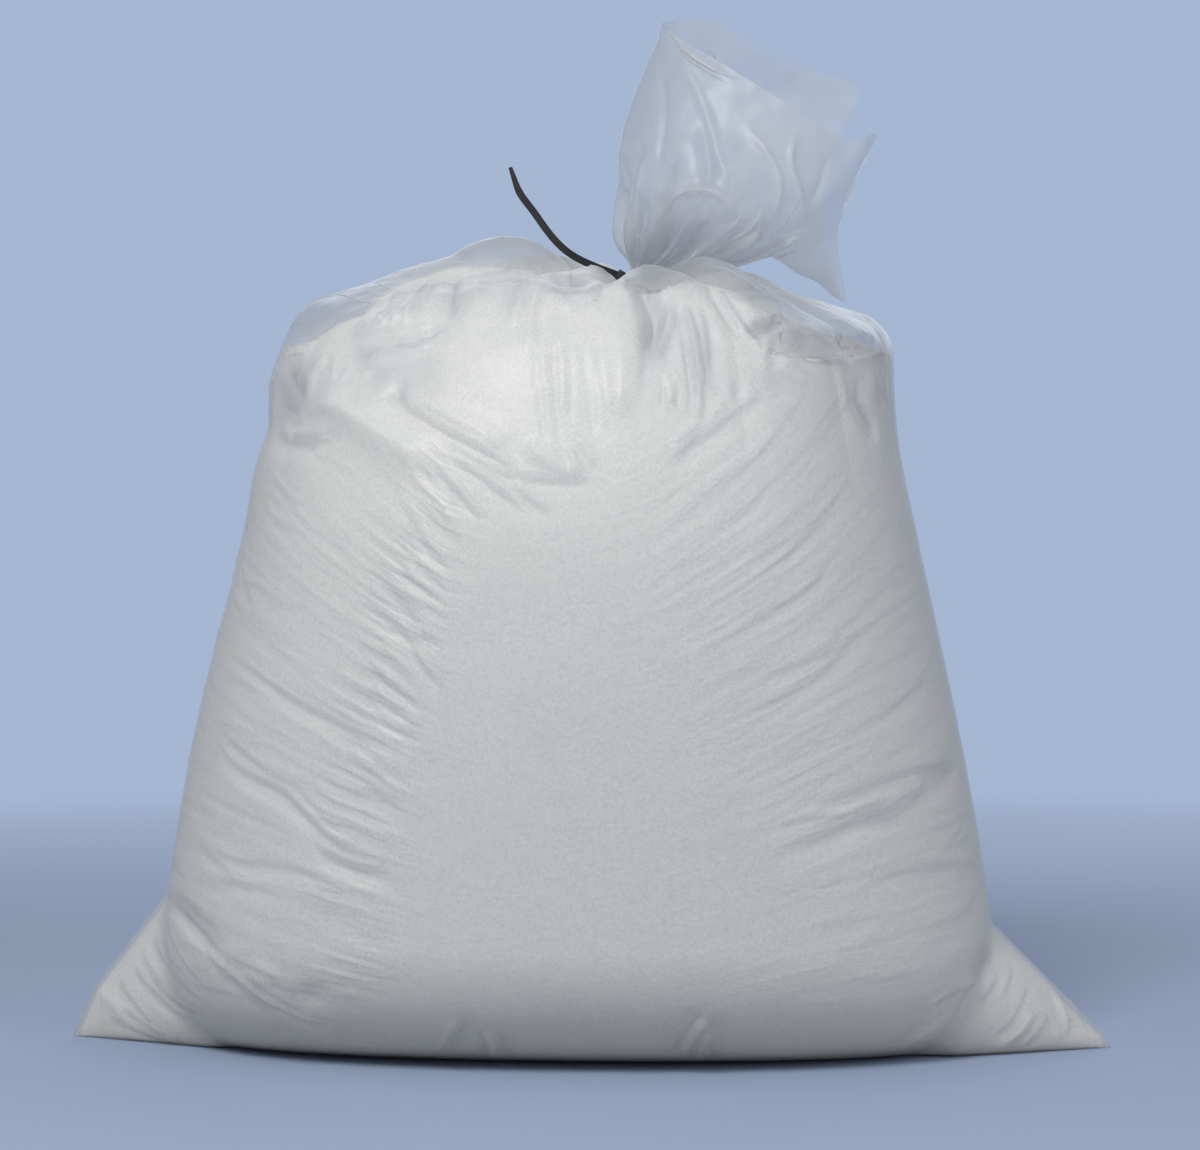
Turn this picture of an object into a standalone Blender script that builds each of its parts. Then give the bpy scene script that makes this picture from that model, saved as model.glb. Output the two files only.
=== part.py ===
"""Clear polythene bag full of polystyrene beads, standing on its base, its neck closed by a cable tie.

Metres, +Z up. X runs along the bottom seam and -Y is the front. The origin is on the floor, midway
between the tips of the two ears. All points below are measured from the bag's upright axis, which
stands BAG_AXIS_X from the origin.

The film is one lofted skin. Its rows run round the bag, one above the other: the flat underside,
the wall with a pointed ear at each end of the seam, the puffed top with its lobes, the pleated neck
inside the tie, and the loose plume of empty film above it. Its columns run up the bag, from the
bottom seam to the open mouth. The beads are lofted from the same sections, a little inside it.
"""

import math

import bmesh
import bpy
import numpy as np
from mathutils import Matrix, Vector

# Film and fill
FILM_WALL = 0.0002
BEAD_CLEARANCE = 0.0004
BEAD_WALL_GAP = 0.0015
BEAD_EAR_GAP = 0.005

# Wall of the filled bag, up to the shoulder. Each row of the profile is a share of the height, a
# share of the half width, along X, and a share of the half depth, along Y.
SHOULDER_HEIGHT = 0.656
HALF_WIDTH = 0.440
HALF_DEPTH = 0.318
WALL_PROFILE = (
    (0.000, 1.000, 0.843),
    (0.229, 0.966, 0.899),
    (0.457, 0.909, 0.950),
    (0.640, 0.852, 0.987),
    (0.808, 0.798, 1.000),
    (0.915, 0.766, 0.981),
    (1.000, 0.741, 0.943),
)
WALL_SQUARENESS = 2.25

# Rounded foot: how high it reaches, and how far it draws the wall in at the floor
FOOT_HEIGHT = 0.125
FOOT_TUCK_X = 0.066
FOOT_TUCK_Y = 0.150

# Ears, where the corners of the flat bag stick out along the floor
RIGHT_EAR = 0.110
LEFT_EAR = 0.092
RIGHT_TIP = HALF_WIDTH + RIGHT_EAR
LEFT_TIP = HALF_WIDTH + LEFT_EAR
RIGHT_RISE = 1.00
LEFT_RISE = 1.28
RIGHT_TIP_HEIGHT = 0.006
LEFT_TIP_HEIGHT = 0.022
EAR_SPREAD = 0.66
EAR_FOOT = 0.62
EAR_BELLY = 0.40
EAR_LENGTH = 0.160
CREASE_SOFTNESS = 0.014

# The bag's upright axis, from the point midway between the tips
BAG_AXIS_X = (LEFT_TIP - RIGHT_TIP) / 2

# Puffed top
TOP_RISE = 0.152
TOP_SLANT = 0.010
TOP_FULLNESS = 3.8
TOP_ROUNDNESS = 2.2
HOLLOW_REACH = 0.20
LOBE_HEIGHT = 0.036
SHOULDER_PLEAT = 0.012
PLEAT_FOOT = 0.80
BEAD_LOBE_SHARE = 0.35
BEAD_TOP_GAP = 0.004
BEAD_DIMPLE = 0.030

# Swells and dips of the filled wall and top: centre, reach along X, Y and Z, and how far the film
# moves out along its normal
SWELLS = (
    ((-0.290, 0.00, 0.758), (0.040, 0.30, 0.028), 0.014),
    ((-0.320, 0.00, 0.640), (0.060, 0.30, 0.030), -0.009),
    ((-0.350, 0.00, 0.540), (0.090, 0.30, 0.140), -0.009),
    ((-0.190, 0.00, 0.800), (0.060, 0.40, 0.070), -0.009),
    ((-0.140, 0.00, 0.830), (0.030, 0.40, 0.060), -0.007),
    ((-0.048, 0.07, 0.840), (0.078, 0.10, 0.050), 0.024),
    ((-0.050, -0.14, 0.830), (0.120, 0.11, 0.080), -0.026),
    ((0.020, 0.00, 0.835), (0.030, 0.30, 0.050), -0.007),
    ((0.228, 0.00, 0.785), (0.030, 0.30, 0.040), -0.008),
    ((0.315, 0.00, 0.732), (0.045, 0.30, 0.045), 0.029),
    ((0.330, 0.00, 0.660), (0.040, 0.30, 0.040), 0.004),
)
NECK_KEPT = 0.030
NECK_FADE = 0.060

# Crest of the heap of beads from left to right, where it falls short of the film: X and height
BEAD_CREST = (
    (-0.315, 0.700),
    (-0.290, 0.722),
    (-0.250, 0.738),
    (-0.205, 0.756),
    (-0.175, 0.787),
    (-0.130, 0.804),
    (-0.040, 0.800),
    (0.029, 0.808),
    (0.080, 0.770),
    (0.135, 0.787),
    (0.198, 0.762),
    (0.260, 0.734),
    (0.320, 0.715),
)

# Valleys between the lobes of gathered film: angle round the neck in degrees, and the size of the
# lobe between this valley and the next. -90 is the front, 180 the left.
VALLEYS = (
    (-192, 1.25),
    (-148, 0.80),
    (-124, 0.95),
    (-93, 0.75),
    (-66, 1.00),
    (-42, 0.75),
    (-15, 0.60),
    (10, 0.25),
    (38, 0.55),
    (68, 0.75),
    (96, 1.00),
    (124, 0.80),
    (146, 0.60),
)

# Neck, whose foot dips below the crown of the puffed top, and cable tie
NECK_X = 0.058
NECK_Y = 0.012
NECK_DIP = 0.036
NECK_HEIGHT = SHOULDER_HEIGHT + TOP_RISE - NECK_DIP
NECK_LEAN = math.radians(33)
NECK_RADIUS = 0.020
NECK_PLEAT = 0.003
NECK_LENGTH = 0.026
TIE_WIDTH = 0.0076
TIE_THICKNESS = 0.0017
TIE_CLEARANCE = 0.0003
TIE_HEAD = (0.0085, 0.0125, 0.0120)
TIE_ROUNDING = 0.0006
TIE_TAIL = 0.180
TIE_TIP = 0.030
TIE_TIP_WIDTH = 0.0040
TAIL_BACK = 0.25

# Share of the tail's length, and its slope there in degrees
TAIL_SLOPES = ((0.00, 20), (0.25, 28), (0.45, 48), (0.60, 55), (0.80, 56), (0.86, 67), (1.00, 70))

# Loose plume above the tie: how far along it its three courses lie, and for angles round the neck
# in degrees the point of each course, from the foot of the neck. The last course is the mouth.
PLUME_SHARES = (0.24, 0.60, 1.00)
PLUME_COURSES = (
    (-180, (-0.006, -0.008, 0.061), (-0.012, -0.007, 0.155), (0.032, -0.007, 0.286)),
    (-150, (0.007, -0.034, 0.052), (0.010, -0.056, 0.130), (0.063, -0.046, 0.256)),
    (-120, (0.028, -0.044, 0.046), (0.049, -0.082, 0.108), (0.108, -0.064, 0.226)),
    (-90, (0.055, -0.046, 0.043), (0.090, -0.090, 0.090), (0.152, -0.070, 0.197)),
    (-60, (0.082, -0.044, 0.040), (0.132, -0.082, 0.079), (0.186, -0.064, 0.176)),
    (-30, (0.107, -0.034, 0.039), (0.174, -0.056, 0.073), (0.223, -0.042, 0.157)),
    (0, (0.122, -0.012, 0.040), (0.205, -0.016, 0.086), (0.249, -0.012, 0.159)),
    (14, (0.124, 0.004, 0.043), (0.204, 0.010, 0.080), (0.225, 0.018, 0.118)),
    (28, (0.121, 0.018, 0.045), (0.183, 0.040, 0.059), (0.212, 0.058, 0.071)),
    (42, (0.115, 0.028, 0.050), (0.175, 0.058, 0.031), (0.221, 0.076, 0.003)),
    (56, (0.104, 0.034, 0.054), (0.168, 0.074, 0.073), (0.198, 0.082, 0.070)),
    (70, (0.091, 0.038, 0.061), (0.168, 0.078, 0.129), (0.204, 0.078, 0.154)),
    (84, (0.074, 0.042, 0.068), (0.164, 0.072, 0.175), (0.235, 0.058, 0.216)),
    (104, (0.053, 0.040, 0.075), (0.122, 0.068, 0.196), (0.189, 0.056, 0.245)),
    (128, (0.030, 0.034, 0.077), (0.074, 0.054, 0.205), (0.135, 0.044, 0.264)),
    (154, (0.008, 0.016, 0.072), (0.024, 0.028, 0.200), (0.083, 0.022, 0.292)),
)
PLUME_PLEATS = 14
PLUME_PLEAT_DEPTH = 0.16

# Facets
COLUMNS = 56
BASE_COUNT = 2
WALL_ROWS = 13
WALL_ROW_SPREAD = 1.5
TOP_ROWS = 10
PLUME_ROWS = 10
BEAD_TOP_ROWS = 8
SECTION_SAMPLES = 721
LOOP_STEPS = 32
TAIL_STEPS = 16


def between(table, at):
    """Reads a table of (position, value, value, ...) at the positions asked for, on smooth curves."""
    table = np.asarray(table, float)
    knots, values = table[:, 0], table[:, 1:]
    slopes = np.gradient(values, knots, axis=0)
    at = np.clip(np.asarray(at, float), knots[0], knots[-1])
    left = np.clip(np.searchsorted(knots, at, side="right") - 1, 0, len(knots) - 2)
    step = (knots[left + 1] - knots[left])[..., None]
    t = (at - knots[left])[..., None] / step
    low, high = values[left], values[left + 1]
    low_slope, high_slope = slopes[left] * step, slopes[left + 1] * step
    rising = t * t * (3 - 2 * t)
    return low * (1 - rising) + high * rising + low_slope * t * (1 - t) ** 2 - high_slope * t * t * (1 - t)


def round_the_neck(table, degrees):
    """Reads a table of (angle, value, ...) that closes on itself after a full turn."""
    table = [tuple(row) for row in table]
    before = [(row[0] - 360, *row[1:]) for row in table[-2:]]
    after = [(row[0] + 360, *row[1:]) for row in table[:3]]
    wrapped = (np.asarray(degrees, float) - table[0][0]) % 360 + table[0][0]
    return between(before + table + after, wrapped)


def ease(t):
    t = np.clip(t, 0, 1)
    return t * t * (3 - 2 * t)


def wall_radius(angle, height, inset):
    """Distance from the bag's upright axis to its wall, leaving out the ears."""
    tuck = 1 - math.sqrt(1 - (1 - min(height / FOOT_HEIGHT, 1)) ** 2)
    wide, deep = between(WALL_PROFILE, height / SHOULDER_HEIGHT)
    half_width = HALF_WIDTH * wide - inset - FOOT_TUCK_X * tuck
    half_depth = HALF_DEPTH * deep - inset - FOOT_TUCK_Y * tuck
    across = np.abs(np.cos(angle) / half_width) ** WALL_SQUARENESS
    back = np.abs(np.sin(angle) / half_depth) ** WALL_SQUARENESS
    return (across + back) ** (-1 / WALL_SQUARENESS)


def ear_half_width(inward, height, rise, tip_height):
    """Half width of an ear's level slice, at a distance inward from its tip."""
    ridge = rise * inward + tip_height * np.clip(inward / tip_height, 0, 1)
    share = height / np.maximum(ridge, 1e-9)
    above = np.clip((share - EAR_BELLY) / (1 - EAR_BELLY), 0, 1)
    below = np.clip((EAR_BELLY - share) / EAR_BELLY, 0, 1)
    upper = np.sqrt(1 - above**2.2)
    lower = EAR_FOOT + (1 - EAR_FOOT) * np.sqrt(1 - below**2)
    fullness = np.where(share > EAR_BELLY, upper, lower)
    spread = EAR_SPREAD * np.minimum(inward, EAR_LENGTH)
    return np.where((share < 1) & (inward > 0), spread * fullness, 0.0)


def ear_radius(angle, height, tip, rise, tip_height):
    """Distance from the bag's axis to the surface of one ear, found by halving steps."""
    towards = np.cos(angle) > 0.2
    cosine, sine = np.where(towards, np.cos(angle), 1.0), np.sin(angle)
    low = np.zeros_like(angle)
    high = tip / cosine
    for _ in range(40):
        middle = (low + high) / 2
        inside = middle * sine < ear_half_width(tip - middle * cosine, height, rise, tip_height)
        low = np.where(inside, middle, low)
        high = np.where(inside, high, middle)
    return np.where(towards, low, 0.0)


def softly_joined(a, b, softness):
    """The larger of two radii, with a small fillet where they cross."""
    overlap = np.maximum(softness - np.abs(a - b), 0) / softness
    return np.maximum(a, b) + overlap**2 * softness / 4


def half_section(height, side, columns, inset, ear_inset):
    """Level slice from the right ridge to the left one. side is -1 in front and 1 behind."""
    angle = np.linspace(0, math.pi, SECTION_SAMPLES)
    radius = wall_radius(angle, height, inset)
    right = ear_radius(angle, height, RIGHT_TIP - ear_inset, RIGHT_RISE, RIGHT_TIP_HEIGHT)
    left = ear_radius(math.pi - angle, height, LEFT_TIP - ear_inset, LEFT_RISE, LEFT_TIP_HEIGHT)
    softness = 1e-4 + CREASE_SOFTNESS * ease(np.minimum(angle, math.pi - angle) / 0.12)
    radius = softly_joined(softly_joined(radius, right, softness), left, softness)
    x, y = radius * np.cos(angle), radius * np.sin(angle) * side
    run = np.concatenate([[0], np.cumsum(np.hypot(np.diff(x), np.diff(y)))])
    even = np.linspace(0, run[-1], columns // 2 + 1)
    return np.stack([np.interp(even, run, x), np.interp(even, run, y)], axis=1)


def section(height, columns, inset=0.0, ear_inset=0.0):
    """Level slice right round the bag, with as many points as there are columns."""
    behind = half_section(height, 1, columns, inset, ear_inset)
    front = half_section(height, -1, columns, inset, ear_inset)
    return np.concatenate([behind[:-1], front[::-1][:-1]])


def neck_frame():
    """The neck's foot, its axis, and the two directions across it (down to the right, and back)."""
    foot = np.array([NECK_X, NECK_Y, NECK_HEIGHT])
    axis = np.array([math.sin(NECK_LEAN), 0, math.cos(NECK_LEAN)])
    across = np.array([math.cos(NECK_LEAN), 0, -math.sin(NECK_LEAN)])
    return foot, axis, across, np.array([0.0, 1.0, 0.0])


def around_neck(points):
    """Angle of each point round the neck, seen from above, in degrees."""
    return np.degrees(np.arctan2(points[:, 1] - NECK_Y, points[:, 0] - NECK_X))


def lobes(degrees):
    """How far each angle round the neck is up its lobe, from 0 in a valley to the lobe's size."""
    starts = np.array([row[0] for row in VALLEYS], float)
    sizes = np.array([row[1] for row in VALLEYS], float)
    ends = np.append(starts[1:], starts[0] + 360)
    wrapped = (np.asarray(degrees) - starts[0]) % 360 + starts[0]
    which = np.clip(np.searchsorted(starts, wrapped, side="right") - 1, 0, len(starts) - 1)
    share = (wrapped - starts[which]) / (ends[which] - starts[which])
    return sizes[which] * np.sin(math.pi * np.clip(share, 0, 1)) ** 0.7


def pleated(points, strength, lobe_share):
    """A row near the shoulder, drawn in along the valleys of the gathers."""
    pull = 1 + SHOULDER_PLEAT * strength * (lobe_share * lobes(around_neck(points)) - 1)
    return points * pull[:, None]


def neck_ring(degrees, along, radius=NECK_RADIUS):
    """The pleated ring of film at a distance along the neck's axis."""
    foot, axis, across, back = neck_frame()
    turn = np.radians(degrees)[:, None]
    pleat = 1 - np.clip(lobes(degrees), 0, 1)[:, None]
    outward = np.cos(turn) * across + np.sin(turn) * back
    return foot + along * axis + (radius - NECK_PLEAT * pleat) * outward


def top_ring(shoulder, share, lobe_share=1.0, drop=0.0):
    """One row of the puffed top, from the shoulder (share 1) in to the foot of the neck (share 0)."""
    degrees = around_neck(shoulder)
    lower, upper = np.array(WALL_PROFILE[-2:])
    narrowing = (lower - upper)[1:] / (upper - lower)[0] / SHOULDER_HEIGHT / upper[1:]
    rise = TOP_RISE - TOP_SLANT * np.cos(np.radians(degrees)) - drop
    dome = rise * (1 - share**TOP_FULLNESS) ** (1 / TOP_ROUNDNESS)
    swell = LOBE_HEIGHT * ease((1 - share) / 0.6) * (lobe_share * lobes(degrees) - 0.75)
    neck = neck_ring(degrees, 0.0) - np.array([0, 0, drop])
    hollow = math.exp(-((share / HOLLOW_REACH) ** 2))
    drawn_in = shoulder * (1 - narrowing * dome[:, None])
    drawn_in = pleated(drawn_in, ease(1.6 * share - 0.6), lobe_share)
    plan = neck[:, :2] * (1 - share) + drawn_in * share
    height = (SHOULDER_HEIGHT + dome + swell) * (1 - hollow) + neck[:, 2] * hollow
    return np.column_stack([plan, height])


def swollen(rows):
    """The rows with the swells of the bag's top, which fade out before the neck."""
    rows = np.array(rows)
    along = np.roll(rows, -1, axis=1) - np.roll(rows, 1, axis=1)
    normals = np.cross(along, np.gradient(rows, axis=0))
    normals /= np.maximum(np.linalg.norm(normals, axis=2, keepdims=True), 1e-9)
    moved = np.zeros(rows.shape[:2])
    for centre, reach, amount in SWELLS:
        moved += amount * np.exp(-((((rows - centre) / reach) ** 2).sum(axis=2)))
    foot, *_ = neck_frame()
    moved *= ease((np.linalg.norm(rows - foot, axis=2) - NECK_KEPT) / NECK_FADE)
    return rows + normals * moved[..., None]


def plume_ring(degrees, share):
    """One row of the loose film above the tie, from the neck (share 0) to the mouth (share 1)."""
    foot, *_ = neck_frame()
    courses = [(angle, *np.ravel(points)) for angle, *points in PLUME_COURSES]
    courses = round_the_neck(courses, degrees).reshape(-1, len(PLUME_SHARES), 3)
    table = [(0.0, *neck_ring(degrees, NECK_LENGTH).ravel())]
    table.extend((at, *(courses[:, index] + foot).ravel()) for index, at in enumerate(PLUME_SHARES))
    ring = between(table, share).reshape(-1, 3)
    wave = np.cos(np.radians(degrees) * PLUME_PLEATS)[:, None]
    pleat = PLUME_PLEAT_DEPTH * math.sin(math.pi * min(1, share * 2)) * wave
    return ring + pleat * (ring - ring.mean(axis=0))


def wall_rows(columns, rows, floor, inset=0.0, ear_inset=0.0, lobe_share=1.0):
    """Rows of the standing wall, from the floor to the shoulder."""
    made = []
    for share in np.linspace(0, 1, rows + 1) ** WALL_ROW_SPREAD:
        height = SHOULDER_HEIGHT * share
        ring = section(height, columns, inset, ear_inset)
        ring = pleated(ring, ease((share - PLEAT_FOOT) / (1 - PLEAT_FOOT)), lobe_share)
        raised = floor * (1 - share)
        made.append(np.column_stack([ring, np.full(columns, height + raised)]))
    return made


def underside(footprint, rows, right, left):
    """Flat rows from the seam, which runs from ear to ear, out to the edge of the footprint."""
    columns = len(footprint)
    seam_x = np.linspace(right, -left, columns // 2 + 1)
    seam_x = np.concatenate([seam_x[:-1], seam_x[::-1][:-1]])
    seam = np.column_stack([seam_x, np.zeros(columns), footprint[:, 2]])
    return [seam * (1 - share) + footprint * share for share in np.linspace(0, 1, rows + 1)[:-1]]


def top_shares(rows):
    """Where the rows of the puffed top lie, closer together at the shoulder and at the neck."""
    return [1 - (ease(step) + step) / 2 for step in np.linspace(0, 1, rows + 1)[1:]]


def film_rows(columns, under, wall, top, plume):
    """All rows of the film, from the bottom seam to the mouth, as a grid of points."""
    standing = wall_rows(columns, wall, 0.0)
    rows = underside(standing[0], under, RIGHT_TIP, LEFT_TIP) + standing
    shoulder = section(SHOULDER_HEIGHT, columns)
    rows.extend(top_ring(shoulder, share) for share in top_shares(top))
    degrees = around_neck(shoulder)
    loose = [plume_ring(degrees, step**1.3) for step in np.linspace(0, 1, plume + 1)]
    return np.concatenate([swollen(rows), loose])


def bead_rows(columns, under, wall, top, kept):
    """All rows of the heap of beads, from its flat base to the dimple in its crest."""
    inset = FILM_WALL + BEAD_WALL_GAP
    floor = FILM_WALL + BEAD_CLEARANCE
    standing = wall_rows(columns, wall, floor, inset, BEAD_EAR_GAP, BEAD_LOBE_SHARE)
    right, left = standing[0][0][0], -standing[0][columns // 2][0]
    rows = underside(standing[0], under, right, left) + standing
    shoulder = section(SHOULDER_HEIGHT, columns, inset, BEAD_EAR_GAP)
    for share in top_shares(top)[:kept]:
        rows.append(top_ring(shoulder, share, BEAD_LOBE_SHARE, BEAD_TOP_GAP))
    rows = swollen(rows)
    rows[..., 2] = np.minimum(rows[..., 2], between(BEAD_CREST, rows[..., 0])[..., 0])
    dimple = rows[-1].mean(axis=0) - np.array([0, 0, BEAD_DIMPLE])
    return np.concatenate([rows, np.tile(dimple, (1, columns, 1))])


def clear_scene():
    for found in list(bpy.data.objects):
        bpy.data.objects.remove(found)


def material(name, colour, roughness, alpha=1.0):
    made = bpy.data.materials.new(name)
    made.use_nodes = True
    shader = made.node_tree.nodes["Principled BSDF"]
    shader.inputs["Base Color"].default_value = (*colour, 1.0)
    shader.inputs["Roughness"].default_value = roughness
    shader.inputs["Alpha"].default_value = alpha
    return made


def loft(name, rows):
    """A mesh from rows of points that run round the bag. The first row folds flat onto the seam."""
    count, columns = rows.shape[:2]
    faces = []
    for row in range(count - 1):
        for column in range(columns):
            following = (column + 1) % columns
            low, high = row * columns, (row + 1) * columns
            faces.append((low + column, low + following, high + following, high + column))
    mesh = bpy.data.meshes.new(name)
    mesh.from_pydata(rows.reshape(-1, 3).tolist(), [], faces)
    work = bmesh.new()
    work.from_mesh(mesh)
    bmesh.ops.remove_doubles(work, verts=work.verts, dist=1e-6)
    work.to_mesh(mesh)
    work.free()
    mesh.shade_smooth()
    return mesh


def add(made, collection, finish, stand):
    """Puts an object in its collection, in its finish, on the bag's upright axis."""
    made.data.materials.append(finish)
    made.parent = stand
    collection.objects.link(made)
    return made


def make_film():
    rows = film_rows(COLUMNS, BASE_COUNT, WALL_ROWS, TOP_ROWS, PLUME_ROWS)
    bag = bpy.data.objects.new("film_bag", loft("film_bag", rows))
    wall = bag.modifiers.new("wall", "SOLIDIFY")
    wall.thickness = FILM_WALL
    wall.offset = -1
    return bag


def make_beads():
    rows = bead_rows(COLUMNS, BASE_COUNT, WALL_ROWS, TOP_ROWS, BEAD_TOP_ROWS)
    return bpy.data.objects.new("bead_fill", loft("bead_fill", rows))


def strap(name, centres, widthways, widths):
    """A flat strap: an open ribbon through the centres, thickened to both sides."""
    points, faces = [], []
    for centre, direction, width in zip(centres, widthways, widths):
        points += [tuple(centre - direction * width / 2), tuple(centre + direction * width / 2)]
    for low in range(0, len(points) - 2, 2):
        faces.append((low, low + 1, low + 3, low + 2))
    mesh = bpy.data.meshes.new(name)
    mesh.from_pydata(points, [], faces)
    work = bmesh.new()
    work.from_mesh(mesh)
    bmesh.ops.remove_doubles(work, verts=work.verts, dist=1e-6)
    work.to_mesh(mesh)
    work.free()
    made = bpy.data.objects.new(name, mesh)
    shell = made.modifiers.new("strap", "SOLIDIFY")
    shell.thickness = TIE_THICKNESS
    shell.offset = 0
    return made


def tie_frame():
    """Frame of the tie's head: X out through its slot, Y round the neck and Z along the neck."""
    foot, axis, across, _ = neck_frame()
    reach = NECK_RADIUS + TIE_CLEARANCE + TIE_HEAD[0] / 2
    columns = [Vector(-across), Vector(np.cross(axis, -across)), Vector(axis)]
    frame = Matrix([list(column) for column in columns]).transposed().to_4x4()
    frame.translation = Vector(foot + axis * NECK_LENGTH / 2 - across * reach)
    return frame


def tie_loop():
    """The turn of strap round the neck."""
    foot, axis, across, back = neck_frame()
    middle = foot + axis * NECK_LENGTH / 2
    radius = NECK_RADIUS + TIE_CLEARANCE + TIE_THICKNESS / 2
    turns = np.linspace(0, 2 * math.pi, LOOP_STEPS + 1)
    ring = [middle + radius * (math.cos(turn) * across + math.sin(turn) * back) for turn in turns]
    return strap("cable_tie", ring, [axis] * len(ring), [TIE_WIDTH] * len(ring))


def tie_head():
    """The locking head: a block with rounded edges."""
    mesh = bpy.data.meshes.new("tie_head")
    work = bmesh.new()
    bmesh.ops.create_cube(work, size=1.0, matrix=tie_frame() @ Matrix.Diagonal((*TIE_HEAD, 1.0)))
    work.to_mesh(mesh)
    work.free()
    head = bpy.data.objects.new("tie_head", mesh)
    edges = head.modifiers.new("rounded edges", "BEVEL")
    edges.width = TIE_ROUNDING
    edges.segments = 2
    return head


def tie_tail():
    """The tail pulled out through the slot: it springs upwards, with a kink before its narrow tip."""
    frame = tie_frame()
    level, back, up = np.array([-1.0, 0.0, 0.0]), np.array([0.0, 1.0, 0.0]), np.array([0.0, 0.0, 1.0])
    point = np.array(frame.translation) + np.array(frame.col[0][:3]) * (TIE_HEAD[0] / 2 - TIE_THICKNESS)
    path, widthways, widths = [], [], []
    for share in np.linspace(0, 1, TAIL_STEPS + 1):
        slope = math.radians(between(TAIL_SLOPES, share)[0])
        heading = math.cos(slope) * level + math.sin(slope) * up + TAIL_BACK * back
        tapered = min(TIE_TAIL * (1 - share) / TIE_TIP, 1)
        path.append(point)
        widthways.append(math.cos(slope) * up - math.sin(slope) * level)
        widths.append(TIE_TIP_WIDTH + (TIE_WIDTH - TIE_TIP_WIDTH) * tapered)
        point = point + heading / math.sqrt(1 + TAIL_BACK**2) * TIE_TAIL / TAIL_STEPS
    return strap("tie_tail", path, widthways, widths)


def make_tie(cutters, stand):
    """One moulding: its loop round the neck, its head, and its tail."""
    loop = tie_loop()
    for other in (tie_head(), tie_tail()):
        cutters.objects.link(other)
        other.parent = stand
        other.hide_render = True
        other.display_type = "WIRE"
        join = loop.modifiers.new(f"join {other.name}", "BOOLEAN")
        join.operation = "UNION"
        join.object = other
    return loop


def main():
    clear_scene()
    collection = bpy.data.collections.new("bag_of_beads")
    cutters = bpy.data.collections.new("joined_shapes")
    for made in (collection, cutters):
        bpy.context.scene.collection.children.link(made)
    stand = bpy.data.objects.new("bag_axis", None)
    stand.location.x = BAG_AXIS_X
    collection.objects.link(stand)
    film = material("clear_film", (0.86, 0.88, 0.90), 0.25, 0.35)
    beads = material("white_beads", (0.90, 0.90, 0.88), 0.85)
    nylon = material("black_nylon", (0.02, 0.02, 0.022), 0.45)
    add(make_film(), collection, film, stand)
    add(make_beads(), collection, beads, stand)
    add(make_tie(cutters, stand), collection, nylon, stand)


main()
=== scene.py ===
import math

import bmesh
import bpy
import numpy as np
from mathutils import Matrix, Vector
from mathutils.bvhtree import BVHTree


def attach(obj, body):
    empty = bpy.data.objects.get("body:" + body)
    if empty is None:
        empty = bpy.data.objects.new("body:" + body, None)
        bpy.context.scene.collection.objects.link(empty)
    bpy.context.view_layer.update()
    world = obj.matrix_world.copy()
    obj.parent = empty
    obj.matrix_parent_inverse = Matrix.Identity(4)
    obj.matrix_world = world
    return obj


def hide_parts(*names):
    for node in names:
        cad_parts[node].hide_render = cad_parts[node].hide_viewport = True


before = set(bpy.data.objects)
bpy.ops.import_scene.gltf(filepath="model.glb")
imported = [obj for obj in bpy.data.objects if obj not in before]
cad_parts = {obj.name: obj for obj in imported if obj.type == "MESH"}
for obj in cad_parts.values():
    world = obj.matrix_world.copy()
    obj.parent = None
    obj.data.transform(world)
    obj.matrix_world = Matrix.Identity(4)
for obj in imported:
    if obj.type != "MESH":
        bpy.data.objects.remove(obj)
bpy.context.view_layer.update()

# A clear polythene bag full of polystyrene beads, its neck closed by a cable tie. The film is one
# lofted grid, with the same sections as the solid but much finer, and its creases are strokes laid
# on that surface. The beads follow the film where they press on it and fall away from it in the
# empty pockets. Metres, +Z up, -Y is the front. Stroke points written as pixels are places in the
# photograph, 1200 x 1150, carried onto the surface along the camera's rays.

# Sizes of the solid, in metres from the bag's upright axis
BAG_AXIS = np.array([-0.009, 0.0, 0.0])
SHOULDER_HEIGHT = 0.656
HALF_WIDTH = 0.440
HALF_DEPTH = 0.318
# Share of the shoulder's height, and shares of the half width and half depth there
WALL_PROFILE = (
    (0.000, 1.000, 0.843), (0.229, 0.966, 0.899), (0.457, 0.909, 0.950),
    (0.640, 0.852, 0.987), (0.808, 0.798, 1.000), (0.915, 0.766, 0.981),
    (1.000, 0.741, 0.943),
)
WALL_SQUARENESS = 2.25
FOOT_HEIGHT = 0.125
FOOT_TUCK_X = 0.066
FOOT_TUCK_Y = 0.150
RIGHT_TIP = 0.550
LEFT_TIP = 0.532
RIGHT_RISE = 1.00
LEFT_RISE = 1.28
RIGHT_TIP_HEIGHT = 0.006
LEFT_TIP_HEIGHT = 0.022
EAR_SPREAD = 0.66
EAR_FOOT = 0.62
EAR_BELLY = 0.40
EAR_LENGTH = 0.160
CREASE_SOFTNESS = 0.014
TOP_RISE = 0.152
TOP_SLANT = 0.010
TOP_FULLNESS = 3.8
TOP_ROUNDNESS = 2.2
HOLLOW_REACH = 0.20
LOBE_HEIGHT = 0.036
SHOULDER_PLEAT = 0.012
PLEAT_FOOT = 0.80
# Valleys between the lobes: angle round the neck in degrees, and size of the lobe that follows
VALLEYS = (
    (-192, 1.25), (-148, 0.80), (-124, 0.95), (-93, 0.75), (-66, 1.00),
    (-42, 0.75), (-15, 0.60), (10, 0.25), (38, 0.55), (68, 0.75),
    (96, 1.00), (124, 0.80), (146, 0.60),
)
NECK_X = 0.058
NECK_Y = 0.012
NECK_HEIGHT = 0.772
NECK_LEAN = math.radians(33)
NECK_RADIUS = 0.020
NECK_PLEAT = 0.003
NECK_LENGTH = 0.026
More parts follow.
